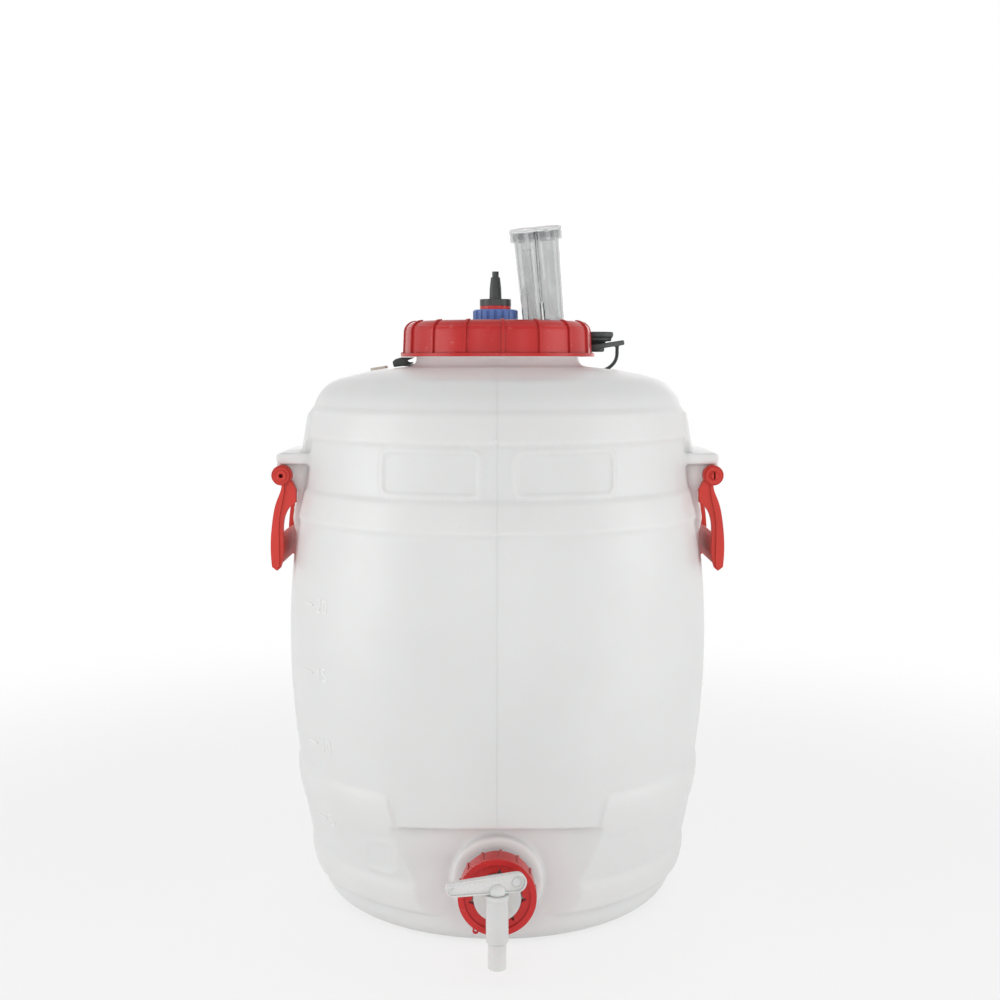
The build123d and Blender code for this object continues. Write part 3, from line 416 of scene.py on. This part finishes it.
# %% Finishes given out
FINISHES = {
    "barrel": milky,
    "lid": lid_red,
    "lid_gasket": seal_grey,
    "vent_stem": tap_white,
    "vent_seal": seal_grey,
    "vent_nut": vent_blue,
    "vent_ring": nut_red,
    "vent_nozzle": nozzle_black,
    "vent_tip": nozzle_black,
    "airlock_grommet": rubber_black,
    "airlock_body": clear,
    "airlock_cap": clear,
    "tap_gasket": nozzle_natural,
    "tap_ring_nut": nut_red,
    "tap_body": tap_white,
    "tap_plug": nozzle_natural,
    "tap_lever": tap_white,
    "tap_oring": rubber_black,
    "handle_left": handle_red,
    "handle_right": handle_red,
    "handle_pin_left": handle_red,
    "handle_pin_right": handle_red,
    "tether_strap": rubber_black,
    "tether_anchor": tag_cream,
    "hole_stopper": rubber_black,
}
for name, material in FINISHES.items():
    slots = nodes[name].data.materials
    slots.clear()
    slots.append(material)
print("finishes given to", len(FINISHES), "moulded pieces")

# %% [markdown]
# The studio has a pale floor that fades into a white surround. The floor keeps the object's shadow. A
# Light Path node tells what looks at it: the camera, also by way of a shine or through clear plastic,
# sees it white and fading, while the light that it throws back at the object stays weaker.

# %% Floor
FLOOR_SIZE = 6.0
FLOOR_FADE = (0.45, 1.1)
FLOOR_GLOW = 0.7
FLOOR_PALE = rgba(0.9, 0.9, 0.9)
SEEN_BY = ("Is Camera Ray", "Is Glossy Ray", "Is Transmission Ray")


def floor_finish():
    """A pale floor that glows and fades out for whatever the camera sees of it."""
    finish = Finish("pale_floor", Roughness=0.9)
    finish.shader.inputs["Base Color"].default_value = FLOOR_PALE
    pale = Value(finish, finish.shader.outputs[0])
    away = finish.add("ShaderNodeVectorMath", {"operation": "LENGTH"}, {0: finish.place}, output="Value")
    seen, glossy, through = (finish.add("ShaderNodeLightPath", {}, {}, output=ray) for ray in SEEN_BY)
    viewed = (seen + glossy + through).clamp()
    glow = finish.add("ShaderNodeEmission", {}, {"Color": rgba(1, 1, 1), "Strength": 1.0})
    lit = finish.add("ShaderNodeMixShader", {}, {0: viewed * FLOOR_GLOW, 1: pale, 2: glow})
    gone = finish.add("ShaderNodeBsdfTransparent", {}, {})
    fade = away.ramp(*FLOOR_FADE) * viewed
    mixed = finish.add("ShaderNodeMixShader", {}, {0: fade, 1: lit, 2: gone})
    finish.tree.links.new(mixed.socket, finish.tree.nodes["Material Output"].inputs["Surface"])
    return finish.material


mesh = bpy.data.meshes.new("floor")
half = FLOOR_SIZE / 2
mesh.from_pydata([(-half, -half, 0), (half, -half, 0), (half, half, 0), (-half, half, 0)], [], [(0, 1, 2, 3)])
floor = add_object("floor", mesh)
floor.data.materials.append(floor_finish())
print("floor:", FLOOR_SIZE, "m wide")

# %% [markdown]
# The surround is the world itself. It is white to the camera and weaker as a light, or the barrel's
# soft shading would wash out. The same three kinds of ray tell the two apart.

# %% Surround
SURROUND_LIGHT = 0.48


def make_surround(strength):
    """A white world that lights the object at a lower strength."""
    world = bpy.data.worlds.new("surround")
    bpy.context.scene.world = world
    world.use_nodes = True
    tree = world.node_tree
    background = tree.nodes["Background"]
    background.inputs["Color"].default_value = rgba(1, 1, 1)
    rays = add_node(tree, "ShaderNodeLightPath", {}, {}).outputs
    reached = rays[SEEN_BY[0]]
    for ray in SEEN_BY[1:]:
        either = add_node(tree, "ShaderNodeMath", {"operation": "MAXIMUM"}, {0: reached, 1: rays[ray]})
        reached = either.outputs[0]
    scaled = add_node(tree, "ShaderNodeMapRange", {}, {"Value": reached, "To Min": strength, "To Max": 1.0})
    tree.links.new(scaled.outputs["Result"], background.inputs["Strength"])


make_surround(SURROUND_LIGHT)
print("surround:", SURROUND_LIGHT, "as a light")

# %% [markdown]
# Broad soft lamps model the form: one from each side shows the belly's roundness, two narrow strips
# leave upright glints on the lid and the airlock, a low front one fills the shade over the tap, and a
# back one lifts the outline. Clear plastic doesn't see the back lamp, which would burn out behind it.

# %% Lamps
MIDDLE = (0, 0, 0.25)
LID_MIDDLE = (0, 0, 0.42)
LAMPS = {  # place, what it faces, width and height, watts
    "key_left": ((-1.52, -0.45, 0.38), MIDDLE, (0.9, 1.2), 8.4),
    "key_right": ((1.52, -0.42, 0.38), MIDDLE, (0.9, 1.2), 7.6),
    "strip_left": ((-0.55, -1.3, 0.75), LID_MIDDLE, (0.07, 0.35), 0.9),
    "strip_right": ((0.75, -1.25, 0.7), LID_MIDDLE, (0.07, 0.35), 0.7),
    "front_low": ((0.1, -1.9, 0.12), (0, 0, 0.3), (1.8, 0.5), 8.6),
    "top": ((0, 0.2, 2.0), MIDDLE, (1.6, 1.6), 1.0),
    "back": ((0.2, 1.9, 0.5), MIDDLE, (1.6, 1.0), 6.0),
}


def make_lamp(name, place, aim, size, watts):
    """A rectangular lamp that faces its aim."""
    data = bpy.data.lights.new(name, "AREA")
    data.shape = "RECTANGLE"
    data.size, data.size_y = size
    data.energy = watts
    lamp = add_object(name, data)
    lamp.location = place
    lamp.rotation_euler = (Vector(aim) - Vector(place)).to_track_quat("-Z", "Y").to_euler()
    return lamp


lamps = {name: make_lamp(name, *row) for name, row in LAMPS.items()}
lamps["back"].visible_transmission = False
print("studio lit by", len(lamps), "lamps")

# %% [markdown]
# Screw threads, ticks and moulded nubs repeat or follow a path, so Geometry Nodes grow them. One small
# builder writes the trees: it adds a node, its settings and its sockets, like the finishes above, and
# each tree's sizes are named inputs that the modifier sets. A grown piece is kept as a plain mesh, so
# that it rides on its body like any packed one.

# %% A builder for geometry trees
INPUT_KINDS = {float: "NodeSocketFloat", int: "NodeSocketInt", tuple: "NodeSocketVector"}


def plain_mesh(piece):
    """The mesh of a piece with its modifiers applied."""
    return bpy.data.meshes.new_from_object(piece.evaluated_get(bpy.context.evaluated_depsgraph_get()))


class Grower:
    """A geometry tree being built, whose inputs are the sizes of one piece."""

    def __init__(self, name, **sizes):
        self.tree = bpy.data.node_groups.new(name, "GeometryNodeTree")
        self.tree.interface.new_socket("Geometry", in_out="OUTPUT", socket_type="NodeSocketGeometry")
        self.name, self.sizes = name, sizes
        for label, value in sizes.items():
            kind = INPUT_KINDS.get(type(value), "NodeSocketObject")
            self.tree.interface.new_socket(label, in_out="INPUT", socket_type=kind)
        self.given = self.tree.nodes.new("NodeGroupInput")

    def size(self, label):
        return self.given.outputs[label]

    def add(self, kind, settings, inputs, output=0):
        """Adds a node and gives one of its outputs."""
        return add_node(self.tree, kind, settings, inputs).outputs[output]

    def math(self, operation, first, second=0.0):
        return self.add("ShaderNodeMath", {"operation": operation}, {0: first, 1: second})

    def vector(self, operation, first, second, output=0):
        return self.add("ShaderNodeVectorMath", {"operation": operation}, {0: first, 1: second}, output)

    def grow(self, geometry, material, smooth=True):
        """Realizes the geometry, gives it its material and returns it as a plain mesh object."""
        real = self.add("GeometryNodeRealizeInstances", {}, {0: geometry})
        shaded = self.add("GeometryNodeSetShadeSmooth", {}, {"Geometry": real, "Shade Smooth": smooth})
        dressed = self.add("GeometryNodeSetMaterial", {}, {"Geometry": shaded, "Material": material})
        end = self.tree.nodes.new("NodeGroupOutput")
        self.tree.links.new(dressed, end.inputs[0])
        seed = add_object(self.name + "_seed", bpy.data.meshes.new(self.name + "_seed"))
        modifier = seed.modifiers.new("grow", "NODES")
        modifier.node_group = self.tree
        for item in self.tree.interface.items_tree:
            if item.in_out == "INPUT":
                modifier[item.identifier] = self.sizes[item.name]
        mesh = plain_mesh(seed)
        seed.modifiers.remove(modifier)
        bpy.data.objects.remove(seed)
        mesh.name = self.name
        print(self.name, "grown:", len(mesh.polygons), "faces")
        return add_object(self.name, mesh)


def settle(piece, body):
    """Makes a finished piece ride on its body."""
    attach(piece, body)


print("geometry builder ready")

# %% [markdown]
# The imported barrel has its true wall, cavity and openings, but its belts, panels and flat are cut with
# crisp corners. A blown wall can't have those: the hot plastic bridges every corner of the mould. A
# bevel fails on so many small edges, so what is seen is a copy, rebuilt in small even cells and then
# relaxed: each point moves towards its neighbours, which rounds what is sharp and leaves what is
# smooth. The weight says how far a point may move.

# %% Relaxed copies
MERGE_REACH = 0.000005
RELAX_STEPS = 5


def even_skin(source, cell):
    """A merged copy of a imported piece, whose modifier rebuilds it in even cells."""
    merged = bmesh.new()
    merged.from_mesh(source.data)
    bmesh.ops.remove_doubles(merged, verts=merged.verts, dist=MERGE_REACH)
    mesh = bpy.data.meshes.new("even_skin")
    merged.to_mesh(mesh)
    merged.free()
    skin = add_object("even_skin", mesh)
    cells = skin.modifiers.new("cells", "REMESH")
    cells.mode, cells.voxel_size = "VOXEL", cell
    return skin


def thin_out(piece, triangles):
    """Merges what lies flat until about so many triangles are left."""
    thin = piece.modifiers.new("thin", "DECIMATE")
    thin.ratio = triangles / sum(len(face.vertices) - 2 for face in piece.data.polygons)
    piece.data = plain_mesh(piece)
    piece.modifiers.clear()


def evenly(tree):
    """Every point relaxes fully."""
    return 1.0


def relaxed_copy(name, node, cell, triangles, material, weigh=evenly, **sizes):
    """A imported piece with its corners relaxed, each point by the weight that weigh gives it."""
    skin = even_skin(nodes[node], cell)
    tree = Grower(name, Skin=skin, Steps=RELAX_STEPS, **sizes)
    wall = tree.add("GeometryNodeObjectInfo", {}, {"Object": tree.size("Skin")}, output="Geometry")
    blurred = tree.add("GeometryNodeBlurAttribute", {"data_type": "FLOAT_VECTOR"}, {
        "Value": tree.add("GeometryNodeInputPosition", {}, {}),
        "Iterations": tree.size("Steps"),
        "Weight": weigh(tree),
    })
    relaxed = tree.add("GeometryNodeSetPosition", {}, {"Geometry": wall, "Position": blurred})
    piece = tree.grow(relaxed, material)
    bpy.data.objects.remove(skin)
    thin_out(piece, triangles)
    print(name, "thinned to", len(piece.data.polygons), "faces")
    return piece


# %% [markdown]
# The stopper and its strap are moulded rubber with the same rounded look all over. Their cells are
# smaller than the barrel's, because a strap only a few millimetres thick needs several across.

# %% Softened rubber
STOPPER_CELL = 0.0006
STOPPER_TRIANGLES = 16000
STRAP_CELL = 0.00045
STRAP_TRIANGLES = 40000


def soft_rubber(node, cell, triangles):
    """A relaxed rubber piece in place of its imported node."""
    piece = relaxed_copy(node + "_soft", node, cell, triangles, rubber_black)
    settle(piece, "barrel")
    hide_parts(node)


soft_rubber("hole_stopper", STOPPER_CELL, STOPPER_TRIANGLES)
soft_rubber("tether_strap", STRAP_CELL, STRAP_TRIANGLES)

# %% [markdown]
# On the barrel the weight changes from place to place. The neck, the spout and the webs that hold the
# handles' pins are pinched by the mould and stay crisper. The framed panels are so shallow that full
# relaxing would wipe them out, so their band moves least.

# %% Softened barrel wall
WALL_CELL = 0.00125
WALL_TRIANGLES = 190000
CRISP_SHARE = 0.12
WEB_REACH = (0.021, 0.033)
SPOUT_MIDDLE = (0.0, -0.158, 0.0525)
SPOUT_REACH = (0.027, 0.036)
NECK_REACH = (0.443, 0.439)
PANEL_SHARE = 0.07
PANEL_MIDDLE = 0.356
PANEL_REACH = (0.0178, 0.0205)
pin_low, pin_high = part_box("handle_pin_right")
PIN_MIDDLE = ((pin_low.x + pin_high.x) / 2, 0.0, (pin_low.z + pin_high.z) / 2)


def share_between(tree, value, reach, least):
    """The least share at the reach's first end, and 1 at its second."""
    return tree.add("ShaderNodeMapRange", {}, {0: value, 1: reach[0], 2: reach[1], 3: least, 4: 1.0})


def blown_softness(tree):
    """1 on the free wall, less near the webs, the spout, the neck and the panels."""
    here = tree.add("GeometryNodeInputPosition", {}, {})
    height = tree.add("ShaderNodeSeparateXYZ", {}, {0: here}, output="Z")
    either_side = tree.add("ShaderNodeVectorMath", {"operation": "ABSOLUTE"}, {0: here})
    across = tree.vector("MULTIPLY", either_side, (1.0, 0.0, 1.0))
    from_pin = tree.vector("DISTANCE", across, tree.size("Pin"), "Value")
    from_spout = tree.vector("DISTANCE", here, tree.size("Spout"), "Value")
    off_panel = tree.math("ABSOLUTE", tree.math("SUBTRACT", height, PANEL_MIDDLE))
    webs = share_between(tree, from_pin, WEB_REACH, CRISP_SHARE)
    spout = share_between(tree, from_spout, SPOUT_REACH, CRISP_SHARE)
    neck = share_between(tree, height, NECK_REACH, CRISP_SHARE)
    panels = share_between(tree, off_panel, PANEL_REACH, PANEL_SHARE)
    return tree.math("MINIMUM", tree.math("MINIMUM", webs, spout), tree.math("MINIMUM", neck, panels))


barrel_wall = relaxed_copy(
    "barrel_wall", "barrel", WALL_CELL, WALL_TRIANGLES, milky, blown_softness,
    Pin=PIN_MIDDLE, Spout=SPOUT_MIDDLE,
)
settle(barrel_wall, "barrel")
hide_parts("barrel")

# %% [markdown]
# A moulded screw thread is a rounded bead wound round its wall, and it fades out at both ends, where
# the mould closes. A spiral curve gives the path. A circle swept along it gives the bead, and the
# curve's radius, which scales that circle, thins the bead within a share of its length at each end.

# %% Screw thread
THREAD_SIDES = 10
THREAD_STEPS = 72
THREAD_END_RISE = 10.0
THREAD_TIP = 0.15
UPRIGHT = (0.0, 0.0, 0.0)


def sweep(tree, path, sides):
    """A round bead of the tree's Bead size along a path, closed at its ends."""
    circle = {"Resolution": sides, "Radius": tree.size("Bead")}
    profile = tree.add("GeometryNodeCurvePrimitiveCircle", {}, circle)
    swept = {"Curve": path, "Profile Curve": profile, "Fill Caps": True}
    return tree.add("GeometryNodeCurveToMesh", {}, swept)


def grow_thread(name, radius, pitch, turns, bead, place, tilt, start, material):
    """A helical bead on a cylinder, from place along the turned Z axis."""
    tree = Grower(
        name, Radius=radius, Pitch=pitch, Turns=turns, Bead=bead, Place=place, Tilt=tilt, Start=start
    )
    helix = tree.add("GeometryNodeCurveSpiral", {}, {
        "Resolution": THREAD_STEPS,
        "Rotations": tree.size("Turns"),
        "Start Radius": tree.size("Radius"),
        "End Radius": tree.size("Radius"),
        "Height": tree.math("MULTIPLY", tree.size("Pitch"), tree.size("Turns")),
    })
    along = tree.add("GeometryNodeSplineParameter", {}, {}, output="Factor")
    steep = tree.math("MULTIPLY", tree.size("Turns"), THREAD_END_RISE)
    rising = tree.math("MULTIPLY", along, steep)
    ending = tree.math("MULTIPLY", tree.math("SUBTRACT", 1.0, along), steep)
    fade = tree.math("MINIMUM", tree.math("MINIMUM", rising, ending), 1.0)
    width = tree.math("MAXIMUM", fade, THREAD_TIP)
    tapered = tree.add("GeometryNodeSetCurveRadius", {}, {"Curve": helix, "Radius": width})
    bead_mesh = sweep(tree, tapered, THREAD_SIDES)
    turned = tree.add("GeometryNodeTransform", {}, {"Geometry": bead_mesh, "Rotation": tree.size("Start")})
    placed = tree.add("GeometryNodeTransform", {}, {
        "Geometry": turned, "Rotation": tree.size("Tilt"), "Translation": tree.size("Place"),
    })
    return tree.grow(placed, material)


print("thread builder ready")

# %% [markdown]
# The lid climbs one pitch a turn, so its thread and the neck's are helices of that pitch, half a pitch
# apart, and they mesh as real ones do. Each bead is sunk almost half into its wall.

# %% Lid and neck threads
LID_PITCH = 0.008
NECK_RADIUS = 0.0695
NECK_TURNS = 1.4
LID_BORE = 0.073
LID_TURNS = 1.3
LID_BEAD = 0.0019
BEAD_PROUD = 0.1 * LID_BEAD
THREAD_TOP_GAP = 0.003
lid_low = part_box("lid")[0][2]
neck_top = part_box("lid_gasket")[0][2]
neck_thread_low = neck_top - THREAD_TOP_GAP - NECK_TURNS * LID_PITCH
lid_thread_low = lid_low + 2 * LID_BEAD
lid_start = 2 * math.pi * ((lid_thread_low - neck_thread_low) / LID_PITCH + 0.5)

neck_thread = grow_thread(
    "neck_thread", NECK_RADIUS + BEAD_PROUD, LID_PITCH, NECK_TURNS, LID_BEAD,
    (0.0, 0.0, neck_thread_low), UPRIGHT, UPRIGHT, milky_mark,
)
settle(neck_thread, "barrel")
lid_thread = grow_thread(
    "lid_thread", LID_BORE - BEAD_PROUD, LID_PITCH, LID_TURNS, LID_BEAD,
    (0.0, 0.0, lid_thread_low), UPRIGHT, (0.0, 0.0, lid_start), lid_red,
)
settle(lid_thread, "lid")

# %% [markdown]
# The tap's ring nut screws onto a finer thread on the spout. It is the same bead, laid on its side: the
# helix is turned a quarter, so that it runs forwards out of the wall.

# %% Spout thread
SPOUT_RADIUS = 0.0219
SPOUT_PITCH = 0.0045
SPOUT_TURNS = 3.2
SPOUT_BEAD = 0.0011
SPOUT_BACK = (0.0, -0.149, 0.0525)
FORWARDS = (math.pi / 2, 0.0, 0.0)
spout_thread = grow_thread(
    "spout_thread", SPOUT_RADIUS, SPOUT_PITCH, SPOUT_TURNS, SPOUT_BEAD,
    SPOUT_BACK, FORWARDS, UPRIGHT, milky_mark,
)
settle(spout_thread, "barrel")

# %% [markdown]
# The mould's two halves leave a fine raised line up the front and the back. The barrel's own surface
# guides it and the marks after it: a ray sent at the axis finds the outer wall at any height, so a mark
# lies on it exactly, over belts and waist alike.

# %% Parting line
PARTING_STEPS = 420
PARTING_SIDES = 6
PARTING_BEAD = 0.00022
PARTING_TOP = 0.436
RAY_START = 0.3


def find_wall(tree, direction):
    """Where a ray from each point meets the barrel's wall, and the wall's normal there."""
    wall = tree.add("GeometryNodeObjectInfo", {}, {"Object": tree.size("Barrel")}, output="Geometry")
    target = {"Target Geometry": wall, "Ray Direction": direction, "Ray Length": RAY_START}
    ray = add_node(tree.tree, "GeometryNodeRaycast", {}, target)
    return ray.outputs["Hit Position"], ray.outputs["Hit Normal"]


def move_to(tree, points, position):
    return tree.add("GeometryNodeSetPosition", {}, {"Geometry": points, "Position": position})


def grow_parting_line(name, facing, low):
    """A fine bead up the barrel's front (-1) or back (1), where the mould's halves met."""
    tree = Grower(name, Barrel=barrel_wall, Low=low, High=PARTING_TOP, Bead=PARTING_BEAD)
    start, end = (
        tree.add("ShaderNodeCombineXYZ", {}, {1: facing * RAY_START, 2: tree.size(height)})
        for height in ("Low", "High")
    )
    ends = {"Count": PARTING_STEPS, "Start Location": start, "Offset": end}
    line = tree.add("GeometryNodeMeshLine", {"mode": "END_POINTS"}, ends)
    hit, _ = find_wall(tree, (0.0, -facing, 0.0))
    path = tree.add("GeometryNodeMeshToCurve", {}, {"Mesh": move_to(tree, line, hit)})
    return tree.grow(sweep(tree, path, PARTING_SIDES), milky_mark)


settle(grow_parting_line("parting_line_front", -1.0, 0.1), "barrel")
settle(grow_parting_line("parting_line_back", 1.0, 0.012), "barrel")

# %% [markdown]
# Litre marks are moulded up the barrel's left side: a tick and a number for every five litres. The
# belly widens as the barrel fills, so each step is a little shorter than the one below. The same ray
# finds the ticks' places, and each tick turns to lie along the wall.

# %% Litre scale
SCALE_ANGLE = math.radians(-148.5)
SCALE_OUT = Vector((math.cos(SCALE_ANGLE), math.sin(SCALE_ANGLE), 0.0))
SCALE_MARKS = 4
FIVE_LITRES = 0.0813
FIRST_STEP = 0.0608
STEP_SHRINKS = 0.0042
TICK_SIZE = (0.0135, 0.0009, 0.0012)


def mark_height(mark):
    """How high the scale's mark of that number, counted from 0, stands."""
    return FIVE_LITRES + mark * (FIRST_STEP - (mark - 1) * STEP_SHRINKS / 2)


def grow_ticks(name):
    """Ticks up the barrel's wall, at the heights that mark_height gives."""
    tree = Grower(
        name, Barrel=barrel_wall, Count=SCALE_MARKS, Low=FIVE_LITRES, Step=FIRST_STEP,
        Half=STEP_SHRINKS / 2, Tick=TICK_SIZE,
    )
    far = SCALE_OUT * RAY_START
    mark = tree.add("GeometryNodeInputIndex", {}, {})
    shrunk = tree.math("MULTIPLY", tree.math("SUBTRACT", mark, 1.0), tree.size("Half"))
    risen = tree.math("MULTIPLY", mark, tree.math("SUBTRACT", tree.size("Step"), shrunk))
    height = tree.math("ADD", tree.size("Low"), risen)
    start = tree.add("ShaderNodeCombineXYZ", {}, {0: far.x, 1: far.y, 2: height})
    marks = tree.add("GeometryNodeMeshLine", {}, {"Count": tree.size("Count")})
    hit, _ = find_wall(tree, tuple(-SCALE_OUT))
    moved = move_to(tree, move_to(tree, marks, start), hit)
    bars = {
        "Points": moved,
        "Instance": tree.add("GeometryNodeMeshCube", {}, {"Size": tree.size("Tick")}),
        "Rotation": (0.0, 0.0, SCALE_ANGLE + math.pi / 2),
    }
    return tree.grow(tree.add("GeometryNodeInstanceOnPoints", {}, bars), mark_painted_highlight, smooth=False)


settle(grow_ticks("five_litre_ticks"), "barrel")

# %% [markdown]
# The numbers beside the ticks stand a third of a millimetre proud. Blender's text makes a flat raised
# number. Each of its points is then sent at the wall by itself, which bends the number round the barrel
# without stretching it.

# %% Litre numbers
NUMBER_SIZE = 0.0155
NUMBER_PROUD = 0.0003
NUMBER_GAP = 0.0125
WALL_RADIUS = 0.17
wall_tree = BVHTree.FromObject(barrel_wall, bpy.context.evaluated_depsgraph_get())


def on_wall(along, height, proud):
    """A point on the barrel's wall, so far round from the scale's line, and proud of it."""
    angle = SCALE_ANGLE + along / WALL_RADIUS
    outward = Vector((math.cos(angle), math.sin(angle), 0.0))
    hit = wall_tree.ray_cast(outward * RAY_START + Vector((0, 0, height)), -outward)[0]
    return hit + outward * proud


def number_mesh(words, height):
    """A raised number beside the scale, bent round the wall."""
    curve = bpy.data.curves.new("number", "FONT")
    curve.body, curve.size, curve.extrude = words, NUMBER_SIZE, NUMBER_PROUD
    curve.align_y = "CENTER"
    flat = add_object("number", curve)
    mesh = plain_mesh(flat)
    bpy.data.objects.remove(flat)
    for vertex in mesh.vertices:
        along, up, proud = vertex.co
        vertex.co = on_wall(NUMBER_GAP + along, height + up, proud)
    return mesh


numbers = bmesh.new()
for mark in range(SCALE_MARKS):
    numbers.from_mesh(number_mesh(str(5 * (mark + 1)), mark_height(mark)))
bmesh.ops.remove_doubles(numbers, verts=numbers.verts, dist=MERGE_REACH)
bmesh.ops.recalc_face_normals(numbers, faces=numbers.faces)
numbers_mesh = bpy.data.meshes.new("litre_numbers")
numbers.to_mesh(numbers_mesh)
numbers.free()
numbers_mesh.materials.append(mark_painted_highlight)
settle(add_object("litre_numbers", numbers_mesh), "barrel")
print("litre scale:", SCALE_MARKS, "numbers,", len(numbers_mesh.polygons), "faces")

# %% [markdown]
# Air leaves a blow mould through small vents, and each leaves a dot. They sit in rings on the belts,
# where the wall is last to touch the mould. Rays find the wall again, from a ring of points this time,
# and each dome is sunk along the wall's normal until only its cap shows.

# %% Mould vent dots
DOTS_ROUND = 10
DOT_SIZE = (0.0012, 0.0012, 0.0012)
DOT_SUNK = 0.0008
DOT_RINGS = (  # name, height, turn
    ("upper_vent_dots", 0.38, 0.31),
    ("lower_vent_dots", 0.319, 0.15),
    ("base_vent_dots", 0.108, 0.31),
)


def add_domes(tree, points, segments, rings):
    """A dome of the tree's Size on every point."""
    ball = {"Segments": segments, "Rings": rings, "Radius": 1.0}
    dome = tree.add("GeometryNodeMeshUVSphere", {}, ball)
    copies = {"Points": points, "Instance": dome, "Scale": tree.size("Size")}
    return tree.add("GeometryNodeInstanceOnPoints", {}, copies)


def raise_and_turn(tree, ring):
    """A ring lifted to the tree's Height and turned by its Turn."""
    lift = tree.add("ShaderNodeCombineXYZ", {}, {2: tree.size("Height")})
    spin = tree.add("ShaderNodeCombineXYZ", {}, {2: tree.size("Turn")})
    return tree.add("GeometryNodeTransform", {}, {"Geometry": ring, "Translation": lift, "Rotation": spin})


def grow_vent_dots(name, height, turn):
    """Small domes on the barrel's wall, all round at one height."""
    tree = Grower(name, Barrel=barrel_wall, Count=DOTS_ROUND, Height=height, Turn=turn, Size=DOT_SIZE)
    circle = {"Resolution": tree.size("Count"), "Radius": RAY_START}
    ring = raise_and_turn(tree, tree.add("GeometryNodeCurvePrimitiveCircle", {}, circle))
    here = tree.add("GeometryNodeInputPosition", {}, {})
    hit, normal = find_wall(tree, tree.vector("MULTIPLY", here, (-1.0, -1.0, 0.0)))
    sink = tree.add("ShaderNodeVectorMath", {"operation": "SCALE"}, {0: normal, "Scale": -DOT_SUNK})
    points = tree.add("GeometryNodeCurveToPoints", {"mode": "EVALUATED"}, {"Curve": ring})
    moved = move_to(tree, points, tree.vector("ADD", hit, sink))
    return tree.grow(add_domes(tree, moved, segments=10, rings=6), mark_painted_highlight)


for name, height, turn in DOT_RINGS:
    settle(grow_vent_dots(name, height, turn), "barrel")

# %% [markdown]
# Round the lid's flange the mould left small nubs, where its vents and ejector pins were. They catch
# the light, which is what makes the red lid look moulded and not turned. No ray is needed here, since
# the flange is a plain circle.

# %% Lid nubs
NUBS_ROUND = 12
NUB_SIZE = (0.0011, 0.0011, 0.0009)
NUB_INSET = 0.0012
NUB_HEIGHT = 0.0026
NUB_TURN = 0.09


def grow_nubs(name, radius, height):
    """Small domes round the lid."""
    tree = Grower(name, Count=NUBS_ROUND, Radius=radius, Height=height, Size=NUB_SIZE, Turn=NUB_TURN)
    circle = {"Resolution": tree.size("Count"), "Radius": tree.size("Radius")}
    domes = add_domes(tree, tree.add("GeometryNodeCurvePrimitiveCircle", {}, circle), segments=12, rings=8)
    return tree.grow(raise_and_turn(tree, domes), lid_red)


flange_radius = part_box("lid")[1][0]
settle(grow_nubs("lid_flange_nubs", flange_radius - NUB_INSET, lid_low + NUB_HEIGHT), "lid")
